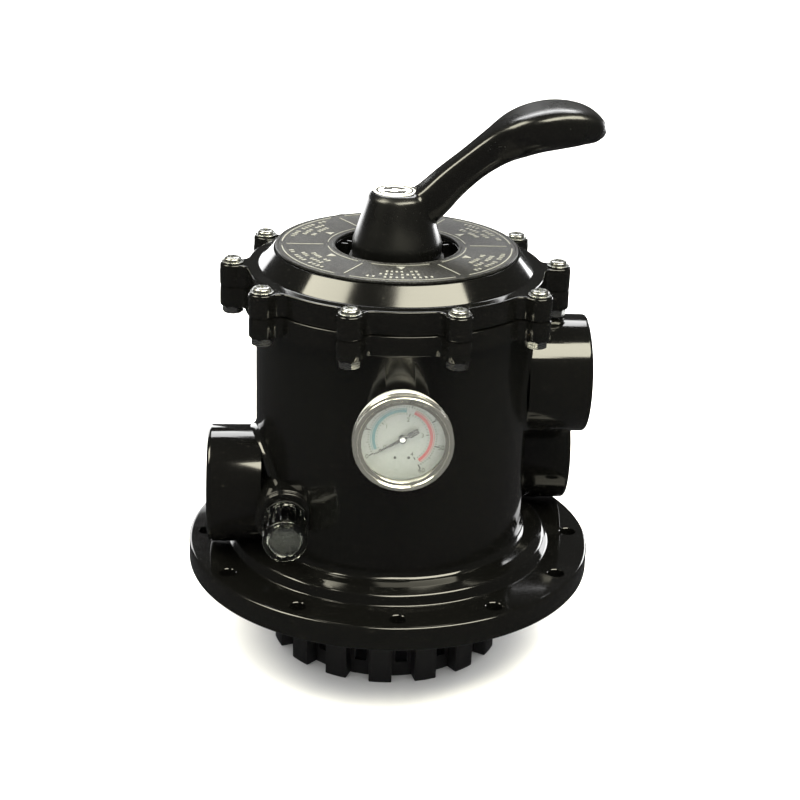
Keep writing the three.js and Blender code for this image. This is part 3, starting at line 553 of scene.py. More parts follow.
def along_x(y=0.0, z=0.0, back=False):
    """Turns a shape built along +Z to point along +X, or -X, and moves it."""
    return Matrix.Translation((0, y, z)) @ Matrix.Rotation(math.radians(-90 if back else 90), 4, "Y")


def along_front(x=0.0, z=0.0):
    """Turns a shape built along +Z to point along -Y, with its +Y up, and moves it."""
    return Matrix.Translation((x, 0, z)) @ Matrix.Rotation(math.radians(90), 4, "X")


def show(name, bm, material, body, slot, replaces=(), sharp_deg=32, at=None):
    """A finished piece in the frame: its mesh in metres, smooth but for sharp edges, on its body."""
    mesh = bpy.data.meshes.new(name)
    bm.transform(Matrix.Scale(MM, 4))
    bmesh.ops.recalc_face_normals(bm, faces=bm.faces)
    bm.to_mesh(mesh)
    bm.free()
    mesh.materials.append(material)
    mesh.shade_smooth()
    mesh.set_sharp_from_angle(angle=math.radians(sharp_deg))
    return place(name, mesh, body, slot, replaces, at)


def place(name, mesh, body, slot, replaces=(), at=None):
    """An object of a mesh, on its body."""
    piece = bpy.data.objects.new(name, mesh)
    bpy.context.scene.collection.objects.link(piece)
    if at is not None:
        piece.matrix_world = at
    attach(piece, body)
    if replaces:
        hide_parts(*replaces)
    return piece


def repaint(node, material):
    """Gives a CAD node its finish."""
    mesh_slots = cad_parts[node].material_slots
    for mesh_slot in mesh_slots:
        mesh_slot.material = material
    if not mesh_slots:
        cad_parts[node].data.materials.append(material)


def arc_points(centre, radius, start, change, steps):
    return [centre + polar(radius, start + change * k / steps) for k in range(steps + 1)]


def short_way(angle):
    return (angle + math.pi) % (2 * math.pi) - math.pi


def scalloped(ring_r):
    """The outline of a ring with bolt lobes, each run into the ring by a hollow blend."""
    hollow_r = ring_r + LOBE_BLEND
    reach = (hollow_r**2 + BOLT_CIRCLE_R**2 - (LOBE_R + LOBE_BLEND) ** 2) / (2 * hollow_r * BOLT_CIRCLE_R)
    spread = math.acos(reach)
    outline = []
    for i in range(BOLTS):
        middle = 2 * math.pi * i / BOLTS
        lobe = polar(BOLT_CIRCLE_R, middle)
        before = polar(hollow_r, middle - spread)
        after = polar(hollow_r, middle + spread)
        inward = middle - spread + math.pi
        to_lobe = math.atan2(*(lobe - before).yx)
        from_lobe = math.atan2(*(lobe - after).yx)
        outward = middle + spread + math.pi
        outline += arc_points(before, LOBE_BLEND, inward, short_way(to_lobe - inward), 6)[:-1]
        lobe_sweep = (from_lobe - to_lobe) % (2 * math.pi)
        outline += arc_points(lobe, LOBE_R, to_lobe + math.pi, lobe_sweep, 14)[:-1]
        outline += arc_points(after, LOBE_BLEND, from_lobe, short_way(outward - from_lobe), 6)[:-1]
        gap = 2 * math.pi / BOLTS - 2 * spread
        outline += arc_points(Vector((0, 0, 0)), ring_r, middle + spread, gap, 5)[:-1]
    return outline


# ------------------------------------------------------------- body
def bolt_holes(radius, circle_r, count, low, high, sink=0.3):
    """A circle of hole cutters whose mouths are broken."""
    return together(*(
        placed(
            turned([
                (0, low - 1, 0), (radius + sink + 1, low - 1, 0), (radius, low + sink, 0),
                (radius, high - sink, 0), (radius + sink + 1, high + 1, 0), (0, high + 1, 0)], SMALL),
            out_at(circle_r, 360 * i / count))
        for i in range(count)))


def thread_cutter(low, high, threaded, radius=BORE_R):
    """A bore cutter whose last stretch, up to high, is ribbed as a female pipe thread is."""
    pitch = bpy.context.scene.valve_sizes.thread_pitch / MM
    start = high - threaded
    corners = [(0, low, 0), (radius, low, 0), (radius, start, 0)]
    for i in range(int(threaded / pitch)):
        corners += [(radius + 1.2, start + pitch * (i + 0.5), 0.2), (radius, start + pitch * (i + 1), 0.2)]
    corners += [(radius, high - 1.6, 0), (radius + 2.6, high + 1, 0), (0, high + 1, 0)]
    return turned(corners, ROUND)


def port_sleeve(low, high, dome=0.0):
    """A port's outside, with a rolled lip at its mouth and an inner end domed by this much."""
    quarter = [math.radians(deg) for deg in range(90, -1, -10)]
    return turned([
        *((PORT_R * math.cos(a), low - dome * math.sin(a), 0) for a in quarter), (PORT_R, high, 2.2),
        (PORT_R - 5, high, 0.8), (PORT_R - 5.8, high - 0.7, 0.5), (0, high - 0.7, 0)], 96)


def port_fillet(offset, level, back):
    """The moulded fillet between a port and the barrel: the path of a ball rolled round the joint."""
    ball = bpy.context.scene.valve_sizes.port_fillet / MM
    sunk = 0.04
    rings = []
    for k in range(96):
        angle = 2 * math.pi * k / 96
        y = offset + (PORT_R + ball) * math.cos(angle)
        x = math.sqrt((BARREL_R + ball) ** 2 - y**2)
        centre = Vector((x, y, (PORT_R + ball) * math.sin(angle)))
        shrink = BARREL_R / (BARREL_R + ball)
        on_barrel = Vector((x * shrink, y * shrink, centre.z)) - centre
        on_port = Vector((x, offset + PORT_R * math.cos(angle), PORT_R * math.sin(angle))) - centre
        sweep = on_barrel.angle(on_port)
        ring = []
        for i in range(9):
            t = i / 8
            share = (math.sin((1 - t) * sweep) * on_barrel + math.sin(t * sweep) * on_port) / math.sin(sweep)
            ring.append(centre + share * (1 + sunk / ball))
        heart = centre + (on_barrel + on_port) * 1.25
        rings.append([*ring, heart])
    shape = tidy(grid(rings))
    return placed(shape, round_z(180 if back else 0), Matrix.Translation((0, 0, level)))


class VALVE_OT_body(bpy.types.Operator):
    """Builds the body: barrel, rim with bolt lobes, three ports, bosses, foot flange and seat"""

    bl_idname = "valve.body"
    bl_label = "Body"

    def execute(self, context):
        neck_r, socket_r, socket_wall = 55.2, 25.2, 3.6
        sight_bore_r, gauge_bore_r = 9, 6.6
        throat_r, throat_y = 15, 50.5
        shell = turned([
            (neck_r - 5, FLANGE_FOOT - 8, 0.5), (neck_r, FLANGE_FOOT - 8, 1), (neck_r, STEP_TOP, 0.6),
            (STEP_R, STEP_TOP, 0.3), (STEP_R, FLANGE_FOOT, 0.3),
            (FLANGE_R, FLANGE_FOOT, 1.6), (FLANGE_R, FLANGE_TOP, 1.8), (SHOULDER_R, FLANGE_TOP, 1.6),
            (SHOULDER_R - 2.4, FLANGE_TOP + 5.4, 2.6), (SHOULDER_R - 8, FLANGE_TOP + 7.6, 4),
            (BARREL_R, FLANGE_TOP + 9, 11), (BARREL_R, RIM_FOOT, 2.5), (RIM_R, RIM_FOOT, 1),
            (RIM_R, JOINT, 0.5), (BARREL_IN_R, JOINT, 0.5), (BARREL_IN_R, SEAT, 0.8), (SEAT_IN_R, SEAT, 0.6),
            (SEAT_IN_R, CHAMBER_FOOT, 1), (neck_r - 5, CHAMBER_FOOT, 1)], FINE, 6)
        lobes = soften(prism(scalloped(RIM_R - 0.5), RIM_FOOT, JOINT), 0.7)
        lobes = cut(lobes, rod(BARREL_R - 2, RIM_FOOT - 1, JOINT + 1, FINE))
        inside = BARREL_IN_R + 3
        ports = [
            placed(port_sleeve(inside, PUMP_END), along_x(z=PUMP_LEVEL)),
            placed(port_sleeve(inside, WASTE_END), along_x(y=WASTE_Y, z=LOW_LEVEL, back=True)),
            placed(port_sleeve(30, RETURN_END, 20), along_x(y=RETURN_Y, z=LOW_LEVEL)),
        ]
        fillets = [port_fillet(0, PUMP_LEVEL, False), port_fillet(-WASTE_Y, LOW_LEVEL, True)]
        sight_boss = placed(
            turned([
                (0, 12, 0), (16.5, 12, 0), (16.5, SIGHT_FACE - 2.5, 0.6), (15.6, SIGHT_FACE - 2, 0.4),
                (15.6, SIGHT_FACE, 1.2), (0, SIGHT_FACE, 0)], ROUND),
            along_front(SIGHT_X, LOW_LEVEL))
        gauge_boss = placed(
            turned([(0, inside, 0), (17, inside, 0), (17, BARREL_R - 0.4, 0), (12, BARREL_R + 2.5, 0.8),
                    (0, BARREL_R + 2.5, 0)], ROUND),
            along_front(0, PUMP_LEVEL))
        outside = join(shell, lobes, *ports, *fillets, sight_boss, gauge_boss)
        hollow = cut(
            outside,
            rod(BARREL_IN_R, SEAT, JOINT + 1, FINE),
            rod(SEAT_IN_R, CHAMBER_FOOT, SEAT + 1, FINE),
            rod(neck_r - 5, FLANGE_FOOT - 9, CHAMBER_FOOT + 1, FINE))
        webs = [
            placed(
                bar(SEAT_IN_R + 1 - socket_r, 4, CHAMBER_FOOT, SEAT),
                out_at((SEAT_IN_R + socket_r + 1) / 2, 30 + 60 * i))
            for i in range(6)
        ]
        floors = [self.chamber_floor(angle, socket_r + 1, neck_r - 3) for angle in (30, 150)]
        standpipe_boss = rod(socket_r + socket_wall, BODY_LOW.z, SEAT, ROUND, 0.6)
        cored = join(hollow, standpipe_boss, *webs, *floors)
        web_clear = (SEAT_IN_R + 1) * math.cos(math.radians(30)) + 4
        finished = cut(
            cored,
            placed(thread_cutter(BARREL_IN_R - 4, PUMP_END, 22), along_x(z=PUMP_LEVEL)),
            placed(thread_cutter(web_clear, WASTE_END, 22), along_x(y=WASTE_Y, z=LOW_LEVEL, back=True)),
            placed(thread_cutter(web_clear, RETURN_END, 22), along_x(y=RETURN_Y, z=LOW_LEVEL)),
            placed(rod(throat_r, web_clear - 15, web_clear + 1), along_x(y=throat_y, z=LOW_LEVEL)),
            placed(rod(gauge_bore_r, 0, BARREL_R + 4, SMALL), along_front(0, PUMP_LEVEL)),
            placed(rod(sight_bore_r, 12, SIGHT_FACE + 1, SMALL), along_front(SIGHT_X, LOW_LEVEL)),
            rod(socket_r, BODY_LOW.z - 1, SEAT + 1, ROUND),
            bolt_holes(SCREW_HOLE_R, BOLT_CIRCLE_R, BOLTS, RIM_FOOT, JOINT),
            bolt_holes(FLANGE_HOLE_R, FLANGE_R - 10, FLANGE_HOLES, FLANGE_FOOT, FLANGE_TOP))
        show("valve_body_shell", finished, look(moulded_abs), "body", "moulded_black", ["valve_body"])
        return {"FINISHED"}

    def chamber_floor(self, start_deg, inner_r, outer_r):
        """The floor of a chamber that is closed to the tank."""
        turns = [math.radians(start_deg + 60 * k / 8) for k in range(9)]
        outline = [polar(inner_r, a) for a in turns] + [polar(outer_r, a) for a in turns[::-1]]
        return prism(outline, CHAMBER_FOOT - 4, CHAMBER_FOOT)


# ------------------------------------------------------------- lid, label plate and fasteners
class VALVE_OT_lid(bpy.types.Operator):
    """Builds the lid: lobed flange, cone, hub recess with its stop ribs, and the spigot under it"""

    bl_idname = "valve.lid"
    bl_label = "Lid"

    def execute(self, context):
        ring_r, cone_foot, cone_top = RIM_R - 1.5, RIM_R - 8, RIM_R - 16
        recess_floor, spigot_r, hub_foot = PLATEAU - 7, BARREL_IN_R - 0.35, LID_FOOT - 5.5
        stem_hole_r, hub_r, recess_r, skin = 11.3, 24, 33.5, 6
        shell = turned([
            (stem_hole_r, hub_foot, 0.5), (hub_r, hub_foot, 1), (hub_r, recess_floor - skin, 2),
            (recess_r + skin, recess_floor - skin, 2), (recess_r + skin, PLATEAU - skin, 2),
            (cone_top - skin, PLATEAU - skin, 2), (spigot_r - 5, LID_FOOT, 0),
            (spigot_r - 5, LID_LOW.z, 0.6), (spigot_r - 3.8, LID_LOW.z, 0.4),
            (spigot_r - 3.8, LID_FOOT - 4, 0.5), (spigot_r, LID_FOOT - 4, 0.5),
            (spigot_r, LID_FOOT, 0), (ring_r, LID_FOOT, 0.6), (ring_r, LOBE_TOP, 1.2),
            (cone_foot, LOBE_TOP, 1.2), (cone_top, PLATEAU, 1.1),
            (recess_r, PLATEAU, 0.8), (recess_r, recess_floor, 1.6),
            (stem_hole_r, recess_floor, 0.5)], FINE, 5)
        lobes = soften(prism(scalloped(ring_r), LID_FOOT, LOBE_TOP), 0.9, 3)
        lobes = cut(lobes, rod(cone_foot - 1, LID_FOOT - 1, LOBE_TOP + 1, FINE))
        stops = [
            placed(
                soften(bar(5.4, 2, recess_floor - 1, PLATEAU - 1.6), 0.5),
                out_at(31.6, 30 + 60 * i + side))
            for i in range(6) for side in (-5, 5)
        ]
        whole = join(shell, lobes, together(*stops))
        whole = cut(whole, bolt_holes(SCREW_HOLE_R, BOLT_CIRCLE_R, BOLTS, LID_FOOT, LOBE_TOP))
        show("lid_shell", whole, look(moulded_abs), "body", "moulded_black", ["lid"])
        return {"FINISHED"}


def ring_sector(inner, outer, low_deg, high_deg, low, high, steps=12):
    """A flat piece between two radii and two angles."""
    angles = [math.radians(low_deg + (high_deg - low_deg) * k / steps) for k in range(steps + 1)]
    return prism([polar(outer, a) for a in angles] + [polar(inner, a) for a in angles[::-1]], low, high)


class VALVE_OT_label_plate(bpy.types.Operator):
    """Builds the label plate, with six raised sectors of plain marks in place of words"""

    bl_idname = "valve.label_plate"
    bl_label = "Label plate"

    def execute(self, context):
        outer, inner, top = PLATE_HIGH.x, 33.8, PLATE_HIGH.z
        lip = 0.35
        plate = turned([
            (inner, PLATE_LOW.z, 0.2), (outer, PLATE_LOW.z, 0.2), (outer, top + lip, 0.3),
            (outer - 1.3, top + lip, 0.3), (outer - 1.7, top, 0.1), (inner + 1.6, top, 0.1),
            (inner + 1.2, top + lip, 0.3), (inner, top + lip, 0.3)], FINE, 3)
        show("label_plate_sheet", plate, look(embossed_plate), "body", "label_grey", ["label_plate"])
        marks = []
        for i in range(6):
            marks += self.sector_marks(30 + 60 * i, top)
        lines = together(*marks)
        ink = look(printed, "raised_label_ink", linear("#74746c"), 0.5, 0.3)
        show("label_marks", lines, ink, "body", "label_grey", sharp_deg=20)
        return {"FINISHED"}

    def sector_marks(self, middle, top):
        """One sector's rim line, dividing line, arrow, and three rows of dashes."""
        low, high = top - 0.1, top + 0.3
        shapes = [
            ring_sector(62.3, 62.9, middle - 26, middle + 26, low, high, 16),
            ring_sector(37.4, 37.9, middle - 24, middle + 24, low, high, 12),
            placed(bar(20, 0.6, low, high), out_at(50, middle + 30)),
            placed(prism([(-2.2, -2.4), (2.4, 0), (-2.2, 2.4)], low, high), out_at(42.3, middle)),
        ]
        for row, radius in enumerate((58.5, 53.6, 48.6)):
            count = (13, 9, 7)[row]
            for k in range(count):
                if (k * 7 + row * 3) % 5 == 4:
                    continue
                angle = middle + (k - (count - 1) / 2) * 3.0
                tall = 2.6 - 0.5 * ((k + row) % 2)
                shapes.append(placed(bar(tall, 1.25, low, high), out_at(radius, angle)))
        return shapes


def hexagon(across, low, high):
    return prism([polar(across / math.sqrt(3), math.radians(60 * k)) for k in range(6)], low, high)


class VALVE_OT_fasteners(bpy.types.Operator):
    """Builds the lid's ten pan-head screws and their nuts"""

    bl_idname = "valve.fasteners"
    bl_label = "Lid screws and nuts"

    def execute(self, context):
        head, low = LOBE_TOP + GAP, BOLT_LOW.z
        pan = turned([
            (0, low, 0), (3, low, 0.6), (3, head, 0), (6.1, head, 0.2), (6.1, head + 0.7, 0.2),
            (4.9, head + 0.75, 0), (4.9, head + 2.1, 0.9), (3.6, BOLT_HIGH.z, 1.4),
            (0, BOLT_HIGH.z, 0)], SMALL)
        for turn in (0, 90):
            slot = soften(bar(5.4, 1.1, BOLT_HIGH.z - 1.6, BOLT_HIGH.z + 1), 0.15, 1)
            pan = cut(pan, placed(slot, round_z(turn + 20)))
        nut = boolean(hexagon(10, NUT_LOW.z, NUT_HIGH.z), [turned([
            (0, NUT_LOW.z, 0), (4.9, NUT_LOW.z, 0), (6, NUT_LOW.z + 0.7, 0), (6, NUT_HIGH.z - 0.7, 0),
            (4.9, NUT_HIGH.z, 0), (0, NUT_HIGH.z, 0)], 48)], "INTERSECT")
        nut = cut(nut, rod(3.3, NUT_LOW.z - 1, NUT_HIGH.z + 1, SMALL))
        steel = look(stainless_steel)
        for kind, shape in (("bolt", pan), ("nut", nut)):
            mesh = None
            for i in range(BOLTS):
                number = f"{i + 1:02d}"
                spin = out_at(BOLT_CIRCLE_R * MM, 360 * i / BOLTS) @ round_z((i * 47) % 60)
                name, node = f"{kind}_finished_{number}", f"lid_{kind}_{number}"
                if mesh is None:
                    mesh = show(name, shape, steel, "body", "steel", [node], 30, spin).data
                else:
                    place(name, mesh, "body", "steel", [node], spin)
        return {"FINISHED"}


# ------------------------------------------------------------- lever
# Stations along the arm: distance from the axis, height over the pin, half width, half thickness.
ARM = (
    (2, 6, 12, 11), (16, 15, 11.5, 10.5), (28, 27, 10, 9.5), (40, 37.5, 9.5, 9),
    (52, 46.5, 11.5, 10), (62, 52.5, 17.5, 11.5), (72, 56.5, 20.5, 12), (84, 58.8, 20.5, 11.9),
    (96, 59, 18, 10.2), (105, 57, 12, 7), (109.5, 55.5, 4, 3),
)


def smooth_through(stations, t):
    """A point on the smooth curve through a list of stations, and t runs from 0 to 1."""
    place_at = t * (len(stations) - 1)
    i = min(int(place_at), len(stations) - 2)
    u = place_at - i
    p = [Vector(stations[max(0, min(len(stations) - 1, i + k))]) for k in (-1, 0, 1, 2)]
    return 0.5 * (
        2 * p[1] + (p[2] - p[0]) * u + (2 * p[0] - 5 * p[1] + 4 * p[2] - p[3]) * u**2
        + (3 * p[1] - p[0] - 3 * p[2] + p[3]) * u**3)


def lever_arm():
    """The arm and its paddle: rounded sections along a bent line, with a ridge along each upper side."""
    runs, facets = 72, 40
    rings = []
    for k in range(runs + 1):
        t = k / runs
        x, height, width, thick = smooth_through(ARM, t)
        ahead, behind = smooth_through(ARM, min(t + 0.01, 1)), smooth_through(ARM, max(t - 0.01, 0))
        slope = Vector((ahead[0] - behind[0], ahead[1] - behind[1])).normalized()
        ring = []
        for j in range(facets):
            a = 2 * math.pi * j / facets
            power = 4.2 if math.sin(a) > 0 else 2.2
            reach = (abs(math.cos(a)) ** power + abs(math.sin(a)) ** power) ** (-1 / power)
            side, up = math.cos(a) * reach * width, math.sin(a) * reach * thick
            ring.append(Vector((x - slope.y * up, side, height + slope.x * up)))
        rings.append(ring)
    ends = [[sum(r, Vector()) / facets] for r in (rings[0], rings[-1])]
    return tidy(grid([ends[0], *rings, ends[1]], closed_run=False))


def remeshed(bm, voxel, passes):
    """A shape fused into one skin, with its inner corners eased as a mould-maker's fillets are."""
    mesh = bpy.data.meshes.new("spare")
    bm.to_mesh(mesh)
    bm.free()
    spare = bpy.data.objects.new("spare", mesh)
    bpy.context.scene.collection.objects.link(spare)
    step = spare.modifiers.new("skin", "REMESH")
    step.mode = "VOXEL"
    step.voxel_size = voxel
    ease = spare.modifiers.new("ease", "SMOOTH")
    ease.factor, ease.iterations = 0.5, passes
    made = bmesh.new()
    made.from_mesh(spare.evaluated_get(bpy.context.evaluated_depsgraph_get()).to_mesh())
    bpy.data.objects.remove(spare)
    bpy.data.meshes.remove(mesh)
    return made


class VALVE_OT_lever(bpy.types.Operator):
    """Builds the lever: hub, arm and paddle in one moulding, with its cam and the badge on top"""

    bl_idname = "valve.lever"
    bl_label = "Lever"

    def execute(self, context):
        top = HUB_TOP - LEVER_PIN
        hub = turned([
            (0, -PIN_HEIGHT, 0), (HUB_R, -PIN_HEIGHT, 0.8), (HUB_R, 8 - PIN_HEIGHT, 5),
            (HUB_R - 4.5, 8, 12), (16.5, top - 2.5, 2.5), (13.4, top, 1.2), (0, top, 0)], ROUND, 6)
        skin = remeshed(join(hub, lever_arm()), 0.8, 8)
        side_view = prism(self.cam_outline(), -HUB_R - 30, HUB_R + 30)
        side_view = placed(side_view, Matrix.Rotation(math.radians(90), 4, "X"))
        skin = boolean(skin, [side_view], "INTERSECT")
        lean = math.tan(PRESS)
        half, half_width, drop, head = 11.9, 8.3, PIN_HEIGHT + 1, 12.5
        pin_r, pin_end = 3.8, HUB_R - 3.7
        room = prism([
            (-half, -drop), (half + drop * lean, -drop), (half + 1, 0), (half + 1, head),
            (-half - head * lean, head), (-half - 1, 0)], -half_width, half_width)
        skin = cut(
            skin,
            placed(room, Matrix.Rotation(math.radians(90), 4, "X")),
            rod(half, -drop, -PIN_HEIGHT + 1.5, SMALL),
            placed(rod(pin_r, -pin_end, pin_end, SMALL), Matrix.Rotation(math.radians(90), 4, "X")),
            placed(rod(11.8, top - 0.9, top + 3, ROUND), Matrix.Translation((BADGE_X, 0, 0))))
        up = Matrix.Translation((0, 0, LEVER_PIN))
        show("lever_moulding", placed(skin, up), look(moulded_abs, "lever_abs", 0.25, 0.01),
             "handle", "moulded_black", ["lever_handle"], 50)
        self.badge()
        return {"FINISHED"}

    def cam_outline(self):
        """The hub's side view: flat underside, then the cam that lifts the pin as the lever goes down."""
        offset, top = 17.2, LEVER_HIGH.z - LEVER_PIN + 5
        outline = [(-HUB_R - 5, -PIN_HEIGHT)]
        for k in range(9):
            a = PRESS * k / 8
            h = PIN_HEIGHT + offset * a
            outline.append((h * math.sin(a) + offset * math.cos(a), offset * math.sin(a) - h * math.cos(a)))
        x, y = outline[-1]
        far, above = LEVER_HIGH.x + 10, top + 30
        outline += [(far, y + (far - x) * math.tan(PRESS)), (far, above), (-HUB_R - 5, above)]
        return outline

    def badge(self):
        """The round badge: a pale disc with a plain ring and two arrows that say the lever turns."""
        low, top = BADGE_LOW.z, BADGE_HIGH.z - 0.3
        at = Matrix.Translation((BADGE_X, 0, 0))
        disc = turned([(0, low, 0), (11.4, low, 0.2), (11.4, top, 0.4), (0, top, 0)], ROUND)
        show("badge_disc", placed(disc, at), look(printed, "badge_enamel", linear("#dcdcd4"), 0.28, 0.05),
             "handle", "badge_white", ["handle_badge"])
        under, over = top - 0.1, top + 0.15
        shapes = [turned([(9.1, under, 0), (10.2, under, 0), (10.2, over, 0), (9.1, over, 0)], ROUND)]
        for turn in (0, 180):
            shapes.append(placed(ring_sector(3.6, 6.8, 20, 125, under, over), round_z(turn)))
            tip = prism([(0, 0), (-6.2, 0), (-3.1, 4.2)], under, over)
            shapes.append(placed(tip, out_at(8.2, 125 + turn)))
        ink = look(printed, "badge_ink", linear("#171716"), 0.35)
        show("badge_marks", placed(together(*shapes), at), ink, "handle", "badge_white")


# ------------------------------------------------------------- gauge, built along +Z and turned to face -Y
SCALE_START, SCALE_SWEEP = 210, 270


def dial_angle(share):
    """The direction of a reading on the dial, in degrees from its right, for a share of full scale."""
    return SCALE_START - SCALE_SWEEP * share


def number_shape(text, size, x, y, z):
    """A number standing on the dial."""
    curve = bpy.data.curves.new("spare", "FONT")
    curve.body, curve.size, curve.extrude = text, size, 0.04
    curve.align_x, curve.align_y, curve.resolution_u = "CENTER", "CENTER", 3
    spare = bpy.data.objects.new("spare", curve)
    bpy.context.scene.collection.objects.link(spare)
    made = bmesh.new()
    made.from_mesh(spare.evaluated_get(bpy.context.evaluated_depsgraph_get()).to_mesh())
    bpy.data.objects.remove(spare)
    bpy.data.curves.remove(curve)
    return placed(made, Matrix.Translation((x, y, z)))


class VALVE_OT_gauge(bpy.types.Operator):
    """Builds the pressure gauge: case, bezel, window, printed dial and needle"""

    bl_idname = "valve.gauge"
    bl_label = "Pressure gauge"

    def execute(self, context):
        back, front = -CASE_HIGH.y, -CASE_LOW.y
        face, case_r = -DIAL_LOW.y, CASE_HIGH.x
        turn = along_front(0, PUMP_LEVEL)
        case = turned([
            (5.4, back, 0.2), (case_r - 1.2, back, 2.4), (case_r - 0.6, back + 4.6, 0.5),
            (case_r, back + 5.2, 0.4), (case_r, back + 6.6, 0.5), (case_r - 0.5, back + 7.3, 0.4),
            (case_r - 0.5, front, 0.3),
            (case_r - 1.2, front, 0.3), (case_r - 1.2, back + 1.2, 1), (5.4, back + 1.2, 0.2)], FINE, 5)
        show("gauge_case_pressing", placed(case, turn), look(brushed_gauge_case),
             "body", "chrome", ["gauge_case"])
        bezel_r, bezel_back, bezel_front = BEZEL_HIGH.x, -BEZEL_HIGH.y, -BEZEL_LOW.y
        lens_front = -LENS_LOW.y + GAP
        bezel = turned([
            (case_r + GAP, bezel_back, 0.2), (bezel_r - 0.5, bezel_back, 0.5),
            (bezel_r, bezel_back + 1.6, 0.8), (bezel_r - 0.7, bezel_back + 2.8, 0.4),
            (bezel_r - 0.2, bezel_front - 2.4, 1), (bezel_r - 0.2, bezel_front, 1.5),
            (bezel_r - 2.3, bezel_front, 1.1), (bezel_r - 3.0, lens_front + 0.9, 0.6),
            (bezel_r - 4.6, lens_front + 0.7, 0.5), (bezel_r - 4.9, lens_front, 0.3),
            (case_r + GAP, lens_front, 0.2)], FINE, 5)
        show("gauge_bezel_ring", placed(bezel, turn), look(chrome_plate), "body", "chrome", ["gauge_bezel"])
        lens = turned([
            (0, -LENS_HIGH.y, 0), (case_r - 0.3, -LENS_HIGH.y, 0.3), (case_r - 0.3, -LENS_LOW.y, 0.3),
            (0, -LENS_LOW.y, 0)], 96)
        window = show("gauge_window", placed(lens, turn), look(clear_glass),
                      "body", "clear_lens", ["gauge_lens"])
        window.visible_shadow = False
        disc = turned([
            (1.6, face - 0.8, 0.1), (DIAL_HIGH.x - 0.3, face - 0.8, 0.2), (DIAL_HIGH.x - 0.3, face, 0.2),
            (1.6, face, 0.1)], 96)
        show("dial_plate", placed(disc, turn), look(printed, "dial_lacquer", linear("#7f8381"), 0.4, 0.2),
             "body", "dial_white", ["gauge_dial"])
        self.dial_prints(face, turn)
        self.needle(turn)
        return {"FINISHED"}

    def dial_prints(self, face, turn):
        """The scale: a blue-green band and a red band, two rings of ticks and their numbers."""
        low, high = face - 0.05, face + 0.08
        bands = (
            ("dial_low_band", "#2c5960", 0.02, 0.47), ("dial_high_band", "#8a3032", 0.53, 0.98))
        for name, colour, start, end in bands:
            sectors = (
                ring_sector(inner, outer, dial_angle(end), dial_angle(start), low, high, 40)
                for inner, outer in ((13.6, 15.2), (15.6, 15.9)))
            ink = look(printed, name + "_ink", linear(colour), 0.4, 0.25)
            show(name, placed(together(*sectors), turn), ink, "body", "dial_white", sharp_deg=20)
        ticks, numbers = [], []
        outer_foot, inner_top, outer_steps, inner_steps = 16.4, 13.3, 60, 40
        for k in range(outer_steps + 1):
            long = 2.4 if k % 10 == 0 else 1.6 if k % 5 == 0 else 0.9
            tick = bar(long, 0.6 if k % 10 == 0 else 0.36, low, high)
            ticks.append(placed(tick, out_at(outer_foot + long / 2, dial_angle(k / outer_steps))))
        for k in range(inner_steps + 1):
            long = 1.5 if k % 10 == 0 else 0.8
            tick = bar(long, 0.5 if k % 10 == 0 else 0.3, low, high)
            ticks.append(placed(tick, out_at(inner_top - long / 2, dial_angle(k / inner_steps))))
        for radius, size, count, step in ((20, 3.4, 7, 10), (10, 3.2, 5, 1)):
            for k in range(count):
                spot = polar(radius, math.radians(dial_angle(k / (count - 1))))
                numbers.append(number_shape(str(k * step), size, spot.x, spot.y, face + 0.02))
        for side in (-3.4, 3.4):
            ticks.append(placed(rod(0.75, low, high, SMALL), Matrix.Translation((side, -10.5, 0))))
        ink = look(printed, "dial_ink", linear("#141515"), 0.45)
        show("dial_ticks", placed(together(*ticks), turn), ink, "body", "needle_black", sharp_deg=20)
        show("dial_numbers", placed(together(*numbers), turn), ink, "body", "needle_black", sharp_deg=20)

    def needle(self, turn):
        """The pointer: a thin tip, a broad tail and a bright cap over its pivot."""
        level, thick = -NEEDLE_LOW.y - 1.2, 0.5
        pointer = prism([
            (16.5, -0.2), (16.5, 0.2), (2.4, 0.75), (-3, 0.8), (-4.4, 1.5), (-9, 1.25), (-9, -1.25),
            (-4.4, -1.5), (-3, -0.8), (2.4, -0.75)], level, level + thick)
        spin = round_z(SCALE_START)
        black = look(printed, "needle_lacquer", linear("#050505"), 0.2)
        shaft = rod(1.2, level - 5, level + 0.2, SMALL)
        boss = turned([
            (0, level - 0.3, 0), (2.1, level - 0.3, 0.1), (2.1, level + 0.8, 0.3),
            (0, level + 0.8, 0)], SMALL)
        show("needle_pointer", placed(join(soften(pointer, 0.08, 1), shaft, boss), spin, turn), black,
             "needle", "needle_black", ["gauge_needle"])
        cap = turned([
            (0, level + 0.75, 0), (1.5, level + 0.75, 0), (1.3, level + 1.2, 0.3),
            (0, level + 1.2, 0)], SMALL)
        show("needle_cap", placed(cap, turn), look(stainless_steel), "needle", "needle_black")


